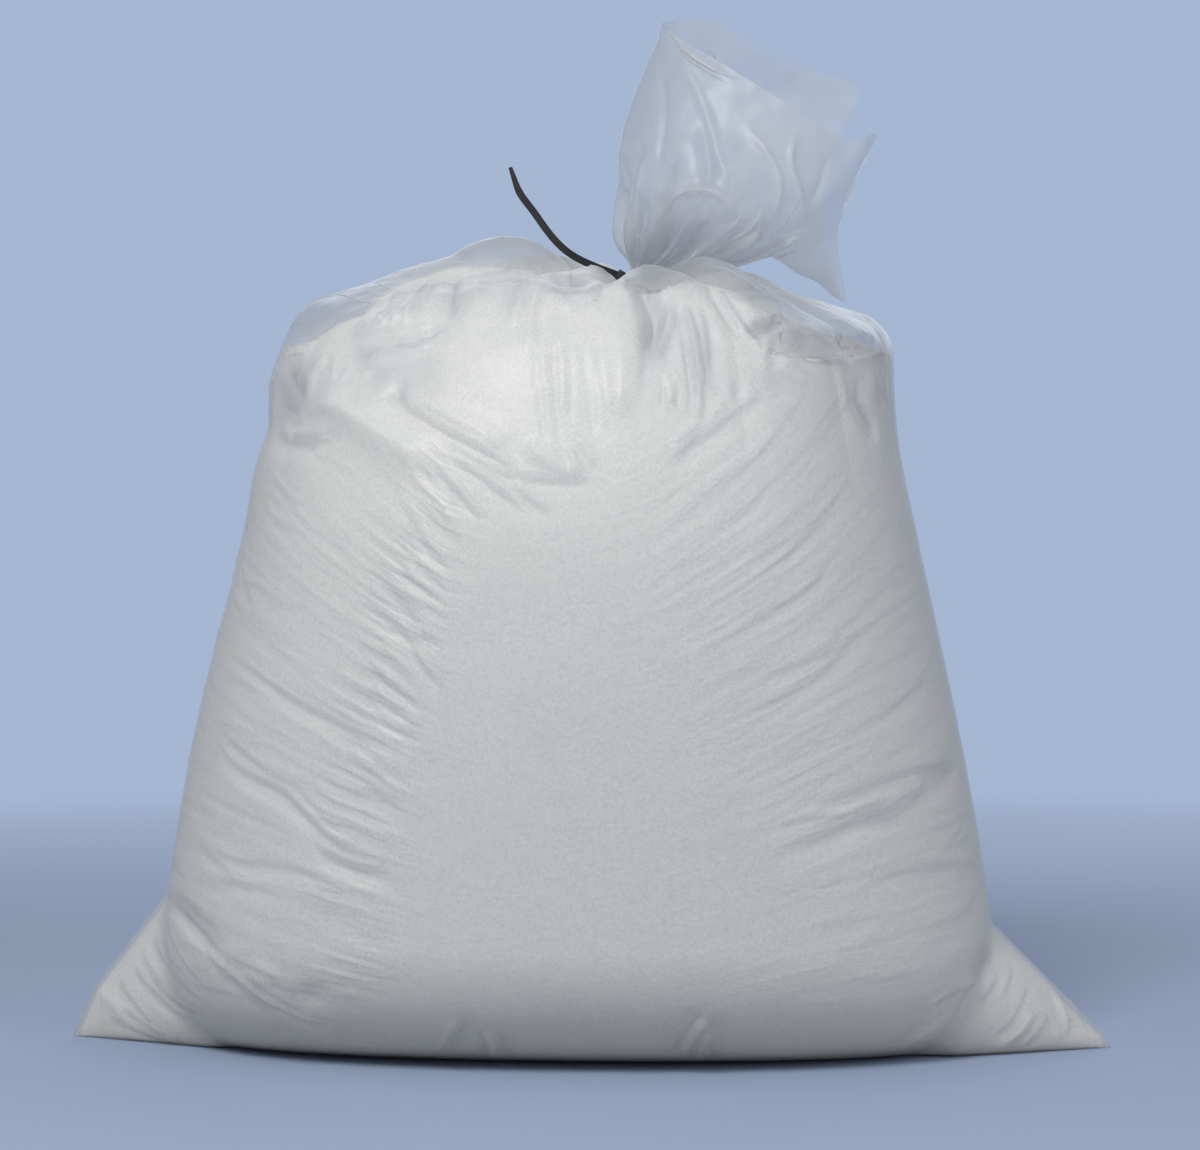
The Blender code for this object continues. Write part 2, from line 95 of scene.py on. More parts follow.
# Courses of the plume's film: angle round the neck, and places beyond its foot at three shares of the way
PLUME_SHARES = (0.24, 0.60, 1.00)
PLUME_COURSES = (
    (-180, (-0.006, -0.008, 0.061), (-0.012, -0.007, 0.155), (0.032, -0.007, 0.286)),
    (-150, (0.007, -0.034, 0.052), (0.010, -0.056, 0.130), (0.063, -0.046, 0.256)),
    (-120, (0.028, -0.044, 0.046), (0.049, -0.082, 0.108), (0.108, -0.064, 0.226)),
    (-90, (0.055, -0.046, 0.043), (0.090, -0.090, 0.090), (0.152, -0.070, 0.197)),
    (-60, (0.082, -0.044, 0.040), (0.132, -0.082, 0.079), (0.186, -0.064, 0.176)),
    (-30, (0.107, -0.034, 0.039), (0.174, -0.056, 0.073), (0.223, -0.042, 0.157)),
    (0, (0.122, -0.012, 0.040), (0.205, -0.016, 0.086), (0.249, -0.012, 0.159)),
    (14, (0.124, 0.004, 0.043), (0.204, 0.010, 0.080), (0.225, 0.018, 0.118)),
    (28, (0.121, 0.018, 0.045), (0.183, 0.040, 0.059), (0.212, 0.058, 0.071)),
    (42, (0.115, 0.028, 0.050), (0.175, 0.058, 0.031), (0.221, 0.076, 0.003)),
    (56, (0.104, 0.034, 0.054), (0.168, 0.074, 0.073), (0.198, 0.082, 0.070)),
    (70, (0.091, 0.038, 0.061), (0.168, 0.078, 0.129), (0.204, 0.078, 0.154)),
    (84, (0.074, 0.042, 0.068), (0.164, 0.072, 0.175), (0.235, 0.058, 0.216)),
    (104, (0.053, 0.040, 0.075), (0.122, 0.068, 0.196), (0.189, 0.056, 0.245)),
    (128, (0.030, 0.034, 0.077), (0.074, 0.054, 0.205), (0.135, 0.044, 0.264)),
    (154, (0.008, 0.016, 0.072), (0.024, 0.028, 0.200), (0.083, 0.022, 0.292)),
)
PLUME_PLEATS = 14
PLUME_PLEAT_DEPTH = 0.16

# Cable tie
TIE_WIDTH = 0.0076
TIE_THICKNESS = 0.0017
TIE_CLEARANCE = 0.0003
TIE_HEAD = (0.0085, 0.0125, 0.0120)
TIE_TAIL = 0.180
TIE_TIP = 0.030
TIE_TIP_WIDTH = 0.0040
TAIL_BACK = 0.25
TAIL_STEPS = 480
# Share of the tail's length, and its slope there in degrees
TAIL_SLOPES = ((0.00, 20), (0.25, 28), (0.45, 48), (0.60, 55), (0.80, 56), (0.86, 67), (1.00, 70))

# Fine grid of the film: columns in front and behind, rows of the underside, wall, top and plume
FRONT_COLUMNS = 480
BACK_COLUMNS = 180
UNDER_ROWS = 5
WALL_ROWS = 270
TOP_ROWS = 110
PLUME_COLUMNS = 400
PLUME_ROWS = 140
INNER_COLUMNS = 260
INNER_ROWS = 70
SECTION_SAMPLES = 721
# The narrowest crease that the fine grid can hold
FINEST_CREASE = 0.0042

# Grid of the beads: columns and rows, and the gaps left under the film
FILL_FRONT = 330
FILL_BACK = 96
FILL_UNDER = 3
FILL_WALL = 200
FILL_TOP = 72
FILL_NECK_ROWS = 4
FILL_FLOOR = 0.0006
FILL_GAP = 0.0017
FILL_EAR_GAP = 0.005
FILL_TOP_GAP = 0.0022
FILL_CREASE_GAP = 0.0004
HEAP_GAP = 0.0020
HEAP_DIMPLE = 0.02
LOOSE_BEADS = 500
LOOSE_RADII = (0.0012, 0.0019)
LOOSE_STRAY = 0.003
LOOSE_GAP = 0.0022
SEED = 11

# Crumples: width and height in metres, and the seed of their noise
SLACK_CRUMPLES = ((0.030, 0.0016, 41), (0.013, 0.0009, 42))
PLUME_CRUMPLES = ((0.055, 0.0035, 21), (0.020, 0.0016, 22))
INNER_CRUMPLES = ((0.018, 0.003, 31),)
CREST_GRAIN = ((0.0045, 0.0012, 51), (0.03, 0.003, 52))
STREAK_SEED = 23

# Drape: width and length of a wrinkle and its height in metres, and the seeds of its noises
DRAPE_WIDTH = 0.0135
DRAPE_LENGTH = 0.085
DRAPE_HEIGHT = 0.0008
DRAPE_PATCH = 0.10
DRAPE_SEEDS = (3, 5, 9)
# Bands of fine wrinkles in front: two heights and the band's X at each, its reach and strength
LEFT_BAND = ((0.20, 0.56), (-0.205, -0.115), 0.050, 1.0)
RIGHT_BAND = ((0.20, 0.60), (0.27, 0.15), 0.100, 0.50)
# How far the hanging film sags: distances from the axis and sag there, heights and the sag's share there
SAG_ASIDE = ((0, 0.10, 0.25, 0.36, 0.50), (0, 0.03, 0.125, 0.185, 0.215))
SAG_SHARE = ((0, 0.10, 0.30, 0.50, 0.65), (0.08, 0.25, 0.58, 0.90, 1.35))

# How milky the film is: its least veil, and what hollows, gathers, ridges and streaks add to that
FILM_VEIL = 0.37
# Milkier in hollows, partly for the doubled film and partly as painted shade
HOLLOW_VEIL = 0.15
GATHERED_VEIL = 0.5
PLUME_VEIL = 0.39
PLUME_GATHERED_VEIL = 0.24
# Milky lines along the plume's ridges: partly doubled film, partly painted highlights
PLUME_RIDGE_VEIL = 0.25
PLUME_STREAK_VEIL = 0.02
# The veil at the foot of the folds inside the plume, and how much less it is at their top
INNER_VEIL = 0.42
INNER_VEIL_FALL = 0.24
# How far the inner folds are tinted towards the bluish grey of painted shade
INNER_FREE = 0.4
# Veil and free of the thin doubled folds, whose milky white is partly painted highlight
GLINT_VALUES = (("veil", 0.75), ("free", 0.5))
# Girth in metres that counts as not gathered, for the top and for the plume
TOP_GIRTH = 2.6
PLUME_GIRTH = 2.3
# Depth of a full hollow. How far off the beads the film starts to stand free, and how much further it
# is wholly free
HOLLOW_DEPTH = 0.005
FREE_START = 0.003
FREE_REACH = 0.014

# Colours. The cells and waves of the shading are counted in a metre
FILM_ON_BEADS = (0.90, 0.905, 0.90, 1)
# The film's darker tone between the pressed beads is painted shade
FILM_PAINTED_SHADE_BETWEEN_BEADS = (0.74, 0.745, 0.75, 1)
# The bluish grey that film standing free of the beads and film in sunken creases take is painted shade
FILM_FREE_PAINTED_SHADE = (0.58, 0.61, 0.68, 1)
FILM_CLEAR = (0.97, 0.975, 0.98, 1)
FILM_THROUGH = (0.74, 0.72, 0.68, 1)
FILM_GLOSS = (0.9, 0.9, 0.9, 1)
BEAD_WHITES = ((0.91, 0.905, 0.885, 1), (0.87, 0.875, 0.870, 1))
# The darker gaps between the beads are painted shade
BEAD_GAP_PAINTED_SHADE = (0.78, 0.785, 0.79, 1)
NYLON_BLACKS = ((0.006, 0.006, 0.007, 1), (0.013, 0.013, 0.014, 1))
BEAD_CELLS = 310.0
PRESSED_CELLS = 330.0
WAVES_ACROSS = 95.0
WAVES_ALONG = 11.0
WAVE_HEIGHT = 0.0016

# Stage and light
STAGE_COLOUR = (0.38, 0.47, 0.64, 1)
FLOOR_COLOUR = (0.46, 0.48, 0.52, 1)
FLOOR_RADIUS = 24
FLOOR_DROP = 0.0004
FADE_START = 1.0
FADE_END = 4.0
WORLD_COLOUR = (0.94, 0.96, 1.0, 1)
WORLD_STRENGTH = 0.34
# Lamps: name, place, target, width and height in metres, watts, colour
LAMPS = (
    ("key", (-0.7, -2.8, 2.6), (0, 0, 0.5), (1.1, 1.1), 72, (1.0, 0.98, 0.94)),
    ("fill", (2.4, -2.2, 1.6), (0, 0, 0.45), (2.0, 2.0), 14, (0.97, 0.985, 1.0)),
    ("behind", (0.3, 2.6, 2.0), (0.1, 0, 0.8), (3.0, 2.0), 22, (1, 1, 1)),
)

# The photograph's camera: pixels of the frame, focal length in pixels, distance and height
PHOTO_WIDTH, PHOTO_HEIGHT = 1200, 1150
FOCAL_PIXELS = 3077.0
CAMERA_DISTANCE = 3.2
CAMERA_HEIGHT = 0.485
CAMERA_ASIDE = 0.024
CAMERA_TURN = math.radians(4.3)
SENSOR = 36.0
# What a pixel of the photograph covers at the bag, and a distance outside everything for rays to start
METRES_PER_PIXEL = 0.00104
OUTSIDE = 2.0


# Curves and sections of the bag


def between(table, at):
    """Reads a table of (position, value, value, ...) at the positions asked for, on smooth curves."""
    table = np.asarray(table, float)
    knots, values = table[:, 0], table[:, 1:]
    slopes = np.gradient(values, knots, axis=0)
    at = np.clip(np.asarray(at, float), knots[0], knots[-1])
    left = np.clip(np.searchsorted(knots, at, side="right") - 1, 0, len(knots) - 2)
    step = (knots[left + 1] - knots[left])[..., None]
    t = (at - knots[left])[..., None] / step
    low, high = values[left], values[left + 1]
    low_slope, high_slope = slopes[left] * step, slopes[left + 1] * step
    rising = t * t * (3 - 2 * t)
    straight = low * (1 - rising) + high * rising
    return straight + low_slope * t * (1 - t) ** 2 - high_slope * t * t * (1 - t)


def round_the_neck(table, degrees):
    """Reads a table of (angle, value, ...) that closes on itself after a full turn."""
    table = [tuple(row) for row in table]
    before = [(row[0] - 360, *row[1:]) for row in table[-2:]]
    after = [(row[0] + 360, *row[1:]) for row in table[:3]]
    wrapped = (np.asarray(degrees, float) - table[0][0]) % 360 + table[0][0]
    return between(before + table + after, wrapped)


def ease(t):
    """0 below 0 and 1 above 1, with a smooth rise between them."""
    t = np.clip(t, 0, 1)
    return t * t * (3 - 2 * t)


def wall_radius(angle, height, inset=0.0):
    """Distance from the bag's upright axis to its wall, leaving out the ears."""
    tuck = 1 - math.sqrt(1 - (1 - min(height / FOOT_HEIGHT, 1)) ** 2)
    wide, deep = between(WALL_PROFILE, height / SHOULDER_HEIGHT)
    half_width = HALF_WIDTH * wide - inset - FOOT_TUCK_X * tuck
    half_depth = HALF_DEPTH * deep - inset - FOOT_TUCK_Y * tuck
    across = np.abs(np.cos(angle) / half_width) ** WALL_SQUARENESS
    back = np.abs(np.sin(angle) / half_depth) ** WALL_SQUARENESS
    return (across + back) ** (-1 / WALL_SQUARENESS)


def ear_half_width(inward, height, rise, tip_height):
    """Half width of an ear's level slice, at a distance inward from its tip."""
    ridge = rise * inward + tip_height * np.clip(inward / tip_height, 0, 1)
    share = height / np.maximum(ridge, 1e-9)
    above = np.clip((share - EAR_BELLY) / (1 - EAR_BELLY), 0, 1)
    below = np.clip((EAR_BELLY - share) / EAR_BELLY, 0, 1)
    upper = np.sqrt(1 - above**2.2)
    lower = EAR_FOOT + (1 - EAR_FOOT) * np.sqrt(1 - below**2)
    fullness = np.where(share > EAR_BELLY, upper, lower)
    spread = EAR_SPREAD * np.minimum(inward, EAR_LENGTH)
    return np.where((share < 1) & (inward > 0), spread * fullness, 0.0)


def ear_radius(angle, height, tip, rise, tip_height):
    """Distance from the bag's axis to the surface of one ear, found by halving steps."""
    towards = np.cos(angle) > 0.2
    cosine, sine = np.where(towards, np.cos(angle), 1.0), np.sin(angle)
    low = np.zeros_like(angle)
    high = tip / cosine
    for _ in range(40):
        middle = (low + high) / 2
        inside = middle * sine < ear_half_width(tip - middle * cosine, height, rise, tip_height)
        low = np.where(inside, middle, low)
        high = np.where(inside, high, middle)
    return np.where(towards, low, 0.0)


def softly_joined(a, b, softness):
    """The larger of two radii, with a small fillet where they cross."""
    overlap = np.maximum(softness - np.abs(a - b), 0) / softness
    return np.maximum(a, b) + overlap**2 * softness / 4


def half_section(height, side, count, inset=0.0, ear_inset=0.0):
    """Level slice from the right ridge to the left one. side is -1 in front and 1 behind."""
    angle = np.linspace(0, math.pi, SECTION_SAMPLES)
    radius = wall_radius(angle, height, inset)
    right = ear_radius(angle, height, RIGHT_TIP - ear_inset, RIGHT_RISE, RIGHT_TIP_HEIGHT)
    left = ear_radius(math.pi - angle, height, LEFT_TIP - ear_inset, LEFT_RISE, LEFT_TIP_HEIGHT)
    softness = 1e-4 + CREASE_SOFTNESS * ease(np.minimum(angle, math.pi - angle) / 0.12)
    radius = softly_joined(softly_joined(radius, right, softness), left, softness)
    x, y = radius * np.cos(angle), radius * np.sin(angle) * side
    run = np.concatenate([[0], np.cumsum(np.hypot(np.diff(x), np.diff(y)))])
    even = np.linspace(0, run[-1], count + 1)
    return np.stack([np.interp(even, run, x), np.interp(even, run, y)], axis=1)


def section(height, front, back, inset=0.0, ear_inset=0.0):
    """Level slice right round the bag: first the back, from right to left, and then the front."""
    behind = half_section(height, 1, back, inset, ear_inset)
    ahead = half_section(height, -1, front, inset, ear_inset)
    return np.concatenate([behind[:-1], ahead[::-1][:-1]])


def neck_frame():
    """The neck's foot, its axis, and the two directions across it (down to the right, and back)."""
    foot = np.array([NECK_X, NECK_Y, NECK_HEIGHT])
    axis = np.array([math.sin(NECK_LEAN), 0, math.cos(NECK_LEAN)])
    across = np.array([math.cos(NECK_LEAN), 0, -math.sin(NECK_LEAN)])
    return foot, axis, across, np.array([0.0, 1.0, 0.0])


def around_neck(points):
    """Angle of each point round the neck, seen from above, in degrees."""
    return np.degrees(np.arctan2(points[:, 1] - NECK_Y, points[:, 0] - NECK_X))


def lobes(degrees):
    """How far each angle round the neck is up its lobe, from 0 in a valley to the lobe's size."""
    starts = np.array([row[0] for row in VALLEYS], float)
    sizes = np.array([row[1] for row in VALLEYS], float)
    ends = np.append(starts[1:], starts[0] + 360)
    wrapped = (np.asarray(degrees) - starts[0]) % 360 + starts[0]
    which = np.clip(np.searchsorted(starts, wrapped, side="right") - 1, 0, len(starts) - 1)
    share = (wrapped - starts[which]) / (ends[which] - starts[which])
    return sizes[which] * np.sin(math.pi * np.clip(share, 0, 1)) ** 0.7


def pleated(points, strength):
    """A row near the shoulder, drawn in along the valleys of the gathers."""
    pull = 1 + SHOULDER_PLEAT * strength * (lobes(around_neck(points)) - 1)
    return points * pull[:, None]


def neck_ring(degrees, along):
    """The pleated ring of film at a distance along the neck's axis."""
    foot, axis, across, back = neck_frame()
    turn = np.radians(degrees)[:, None]
    pleat = 1 - np.clip(lobes(degrees), 0, 1)[:, None]
    outward = np.cos(turn) * across + np.sin(turn) * back
    return foot + along * axis + (NECK_RADIUS - NECK_PLEAT * pleat) * outward


def top_ring(shoulder, share):
    """One row of the puffed top, from the shoulder (share 1) in to the foot of the neck (share 0)."""
    degrees = around_neck(shoulder)
    lower, upper = np.array(WALL_PROFILE[-2:]) * (SHOULDER_HEIGHT, HALF_WIDTH, HALF_DEPTH)
    narrowing = (lower - upper)[1:] / (upper - lower)[0] / upper[1:]
    rise = TOP_RISE - TOP_SLANT * np.cos(np.radians(degrees))
    dome = rise * (1 - share**TOP_FULLNESS) ** (1 / TOP_ROUNDNESS)
    swell = LOBE_HEIGHT * ease((1 - share) / 0.6) * (lobes(degrees) - 0.75)
    neck = neck_ring(degrees, 0.0)
    hollow = math.exp(-((share / HOLLOW_REACH) ** 2))
    drawn_in = pleated(shoulder * (1 - narrowing * dome[:, None]), ease(1.6 * share - 0.6))
    plan = neck[:, :2] * (1 - share) + drawn_in * share
    height = (SHOULDER_HEIGHT + dome + swell) * (1 - hollow) + neck[:, 2] * hollow
    return np.column_stack([plan, height])


def plume_ring(degrees, share):
    """One row of the loose film above the tie, from the neck (share 0) to the mouth (share 1)."""
    foot, *_ = neck_frame()
    courses = [(angle, *np.ravel(points)) for angle, *points in PLUME_COURSES]
    courses = round_the_neck(courses, degrees).reshape(-1, len(PLUME_SHARES), 3)
    table = [(0.0, *neck_ring(degrees, NECK_LENGTH).ravel())]
    table.extend((at, *(courses[:, index] + foot).ravel()) for index, at in enumerate(PLUME_SHARES))
    ring = between(table, share).reshape(-1, 3)
    wave = np.cos(np.radians(degrees) * PLUME_PLEATS)[:, None]
    pleat = PLUME_PLEAT_DEPTH * math.sin(math.pi * min(1, share * 2)) * wave
    return ring + pleat * (ring - ring.mean(axis=0))


def wall_heights(rows):
    """Heights of the wall's rows, evenly spaced along the curve of the front."""
    height = SHOULDER_HEIGHT * np.linspace(0, 1, 1200) ** 2
    reach = np.array([wall_radius(np.array([-math.pi / 2]), z)[0] for z in height])
    run = np.concatenate([[0], np.cumsum(np.hypot(np.diff(height), np.diff(reach)))])
    return np.interp(np.linspace(0, run[-1], rows + 1), run, height)


def wall_grid(rows, front, back, floor=0.0, inset=0.0, ear_inset=0.0):
    """Rows of the standing wall, from the floor to the shoulder."""
    made = []
    for height in wall_heights(rows):
        share = height / SHOULDER_HEIGHT
        ring = section(height, front, back, inset, ear_inset)
        ring = pleated(ring, ease((share - PLEAT_FOOT) / (1 - PLEAT_FOOT)))
        made.append(np.column_stack([ring, np.full(len(ring), height + floor * (1 - share))]))
    return made


def underside(footprint, rows, right, left, back):
    """Flat rows from the seam, which runs from ear to ear, out to the edge of the footprint."""
    front = len(footprint) - back
    behind = np.linspace(right, -left, back + 1)
    ahead = np.linspace(-left, right, front + 1)
    seam_x = np.concatenate([behind[:-1], ahead[:-1]])
    seam = np.column_stack([seam_x, np.zeros(len(seam_x)), footprint[:, 2]])
    return [seam * (1 - share) + footprint * share for share in np.linspace(0, 1, rows + 1)[:-1]]


def top_shares(rows):
    """Where the rows of the puffed top lie, closer together at the shoulder and at the neck."""
    return [1 - (ease(step) + step) / 2 for step in np.linspace(0, 1, rows + 1)[1:]]


# Fields on a grid of points


def normals_of(grid):
    """Outward normals of a grid whose columns close on themselves."""
    along = np.roll(grid, -1, axis=1) - np.roll(grid, 1, axis=1)
    up = np.gradient(grid, axis=0)
    found = np.cross(along, up)
    return found / np.maximum(np.linalg.norm(found, axis=2, keepdims=True), 1e-12)


def crumples(points, layers):
    """The heights of several noises together."""
    return sum(height * noise(points / width, seed) for width, height, seed in layers)


def noise(points, seed):
    """Smooth noise from -1 to 1 that changes over one unit."""
    cell = np.floor(points).astype(np.int64)
    t = points - cell
    t = t * t * (3 - 2 * t)
    total = np.zeros(len(points))
    for corner in range(8):
        offset = np.array([corner & 1, corner >> 1 & 1, corner >> 2 & 1])
        at = cell + offset
        mixed = at[:, 0] * 374761393 + at[:, 1] * 668265263 + at[:, 2] * 1442695041 + seed * 974634777
        mixed = (mixed ^ (mixed >> 13)) & 0xFFFFFFFF
        mixed = (mixed * 1274126177) & 0xFFFFFFFF
        mixed = (mixed ^ (mixed >> 16)) & 0xFFFFFF
        weight = np.prod(np.where(offset == 1, t, 1 - t), axis=1)
        total += weight * (mixed / 0x7FFFFF - 1)
    return total


# How the film's top departs from the solid's: centre in metres from the bag's axis, reach along X, Y
# and Z, and the distance that it swells out along its normal
SWELLS = (
    ((-0.290, 0.00, 0.758), (0.040, 0.30, 0.028), 0.014),
    ((-0.320, 0.00, 0.640), (0.060, 0.30, 0.030), -0.009),
    ((-0.350, 0.00, 0.540), (0.090, 0.30, 0.140), -0.009),
    ((-0.190, 0.00, 0.800), (0.060, 0.40, 0.070), -0.009),
    ((-0.140, 0.00, 0.830), (0.030, 0.40, 0.060), -0.007),
    ((-0.048, 0.07, 0.840), (0.078, 0.10, 0.050), 0.024),
    ((-0.050, -0.14, 0.830), (0.120, 0.11, 0.080), -0.026),
    ((0.020, 0.00, 0.835), (0.030, 0.30, 0.050), -0.007),
    ((0.228, 0.00, 0.785), (0.030, 0.30, 0.040), -0.008),
    ((0.315, 0.00, 0.732), (0.045, 0.30, 0.045), 0.029),
    ((0.330, 0.00, 0.660), (0.040, 0.30, 0.040), 0.004),
)


def softened(field, passes, stride):
    """A field of directions averaged with its neighbours again and again."""
    rows = np.arange(len(field))
    for _ in range(passes):
        aside = np.roll(field, stride, axis=1) + np.roll(field, -stride, axis=1)
        above, below = (field[np.clip(rows + step, 0, len(field) - 1)] for step in (stride, -stride))
        field = (2 * field + aside + (above + below)) / 6
    return field / np.maximum(np.linalg.norm(field, axis=2, keepdims=True), 1e-9)


def swollen(grid):
    """The grid with the swells of its top, which fade out before the neck."""
    moved = np.zeros(grid.shape[:2])
    for centre, reach, amount in SWELLS:
        moved += amount * np.exp(-((((grid - centre) / reach) ** 2).sum(axis=2)))
    neck = np.linalg.norm(grid - neck_frame()[0], axis=2)
    outward = softened(normals_of(grid), 12, 3)
    return grid + outward * (moved * ease((neck - 0.03) / 0.06))[..., None]


def crease_profile(kind, x):
    """Height across a crease. x is in widths, and positive below the crease's path."""
    away = np.abs(x)
    if kind == "ridge":
        return np.exp(-(away**1.6))
    if kind == "valley":
        return -np.exp(-(away**1.6))
    if kind == "fold":
        return np.exp(-(away**1.5)) - 0.75 * np.exp(-(np.abs(x - 1.5) ** 1.8))
    if kind == "pleat":
        return np.exp(-(x**2)) - 0.55 * np.exp(-(((away - 1.7) / 0.7) ** 2))
    if kind == "lip":
        above = (1 - np.exp(-((x / 0.30) ** 2))) * np.exp(-((x / 2.2) ** 2))
        return np.where(x < 0, above, -0.15 * np.exp(-((x / 0.3) ** 2)))
    return np.exp(-(x**2))


class Stroke:
    """A crease on the surface: a path, its normals, and the kind, width and height of its profile."""

    def __init__(self, path, normals, kind, width, height, taper):
        self.path, self.normals = np.asarray(path), np.asarray(normals)
        self.kind, self.height, self.taper = kind, height, taper
        self.width = max(width, FINEST_CREASE)
        self.reach = 3.6 * self.width


def add_stroke(total, points, normals, stroke):
    """Adds one crease's height to the points near it."""
    low, high = stroke.path.min(axis=0) - stroke.reach, stroke.path.max(axis=0) + stroke.reach
    near = np.nonzero(np.all((points > low) & (points < high), axis=1))[0]
    if not len(near):
        return
    start, step = stroke.path[:-1], np.diff(stroke.path, axis=0)
    length2 = np.maximum((step**2).sum(axis=1), 1e-14)
    delta = points[near][:, None] - start[None]
    t = np.clip((delta * step).sum(axis=2) / length2, 0, 1)
    off = delta - t[..., None] * step
    far2 = (off**2).sum(axis=2)
    best = far2.argmin(axis=1)
    row = np.arange(len(near))
    share = (best + t[row, best]) / len(step)
    normal = stroke.normals[best]
    facing = ease(((normals[near] * normal).sum(axis=1) - 0.1) / 0.4)
    below = np.cross(step[best], normal)
    side = np.sign((off[row, best] * below).sum(axis=1)) * np.where(below[:, 2] > 0, -1, 1)
    profile = crease_profile(stroke.kind, np.sqrt(far2[row, best]) / stroke.width * side)
    ends = ease(share / stroke.taper) * ease((1 - share) / stroke.taper)
    total[near] += stroke.height * profile * ends * facing


def stroke_heights(points, normals, strokes):
    """Height of all the strokes together at the points of a grid."""
    flat, flat_normals = points.reshape(-1, 3), normals.reshape(-1, 3)
    total = np.zeros(len(flat))
    for stroke in strokes:
        add_stroke(total, flat, flat_normals, stroke)
    return total.reshape(points.shape[:2])


# The camera, and places in the photograph carried onto the surface


def camera_frame():
    """The camera's place, and its directions right, up and forward, measured from the bag's axis."""
    right = np.array([math.cos(CAMERA_TURN), math.sin(CAMERA_TURN), 0])
    forward = np.array([-math.sin(CAMERA_TURN), math.cos(CAMERA_TURN), 0])
    up = np.array([0.0, 0.0, 1.0])
    place = right * CAMERA_ASIDE - forward * CAMERA_DISTANCE + up * CAMERA_HEIGHT
    return place, right, up, forward


def smooth_path(points, count):
    """Evenly spaced points on a smooth curve through the given ones."""
    points = np.asarray(points, float)
    if len(points) == 2:
        return points[0] + (points[1] - points[0]) * np.linspace(0, 1, count)[:, None]
    run = np.concatenate([[0], np.cumsum(np.linalg.norm(np.diff(points, axis=0), axis=1))])
    return between(np.column_stack([run, points]), np.linspace(0, run[-1], count))


def grid_faces(rows, columns, closed):
    """Quads between the rows of a grid. A closed grid's last column joins its first."""
    across = columns if closed else columns - 1
    row, column = np.meshgrid(np.arange(rows - 1), np.arange(across), indexing="ij")
    following = (column + 1) % columns
    low, high = row * columns, (row + 1) * columns
    return np.stack([low + column, low + following, high + following, high + column], axis=-1).reshape(-1, 4)


class Surface:
    """A closed grid of points that rays and strokes can be laid on."""

    def __init__(self, grid, step=2):
        coarse = grid[::step, ::step]
        faces = grid_faces(*coarse.shape[:2], True)
        self.tree = BVHTree.FromPolygons(coarse.reshape(-1, 3).tolist(), faces.tolist())

    def hit_from(self, place, direction):
        """The first point and normal on a ray, or None twice."""
        point, normal, _, _ = self.tree.ray_cast(Vector(place), Vector(direction))
        return (None, None) if point is None else (np.array(point), np.array(normal))

    def seen_at(self, pixel):
        """What the camera sees at a pixel of the photograph."""
        place, right, up, forward = camera_frame()
        aside = (pixel[0] - PHOTO_WIDTH / 2) / FOCAL_PIXELS
        above = (PHOTO_HEIGHT / 2 - pixel[1]) / FOCAL_PIXELS
        return self.hit_from(place, forward + aside * right + above * up)

    def lies_at(self, azimuth, height):
        """What a level ray from outside meets, at an azimuth in degrees."""
        turn = math.radians(azimuth)
        outward = np.array([math.cos(turn), math.sin(turn), 0.0])
        return self.hit_from(outward * OUTSIDE + np.array([0, 0, height]), -outward)

    def distance_to(self, points):
        """Distance from each point to the surface."""
        return np.array([self.tree.find_nearest(point)[3] for point in points.tolist()])

    def kept_inside(self, points, gap):
        """The points, moved in where they lie outside the surface or closer under it than the gap."""
        kept = points.copy()
        for index, point in enumerate(points.tolist()):
            nearest, normal, _, _ = self.tree.find_nearest(point)
            over = (Vector(point) - nearest).dot(normal) + gap
            if over > 0:
                kept[index] -= np.array(normal) * over
        return kept

    def kept_under(self, points, gap):
        """The points, lowered where they lie above the surface's top or closer under it than the gap."""
        kept = points.copy()
        for index, (x, y, z) in enumerate(points.tolist()):
            top, _ = self.hit_from((x, y, OUTSIDE), (0.0, 0.0, -1.0))
            if top is not None and top[2] > SHOULDER_HEIGHT:
                kept[index, 2] = min(z, top[2] - gap)
        return kept


def stroke_through(found, kind, width, height, taper):
    """A stroke through the places that the surface gave, or None where too few were found."""
    found = [(point, normal) for point, normal in found if point is not None]
    if len(found) < 3:
        return None
    path, normals = zip(*found)
    return Stroke(path, normals, kind, width, height, taper)


def photo_strokes(surface, creases, taper, depth=1.0):
    """Strokes along paths in the photograph, from creases given as in the tables below."""
    made = []
    for kind, width, height, pixels in creases:
        length = np.linalg.norm(np.diff(np.asarray(pixels, float), axis=0), axis=1).sum()
        path = smooth_path(pixels, max(6, int(length / 6)))
        found = [surface.seen_at(at) for at in path]
        made.append(stroke_through(found, kind, width * 1e-3, height * depth * 1e-3, taper))
    return [stroke for stroke in made if stroke is not None]


# Creases read from the photograph: kind, width and height in millimetres, pixels

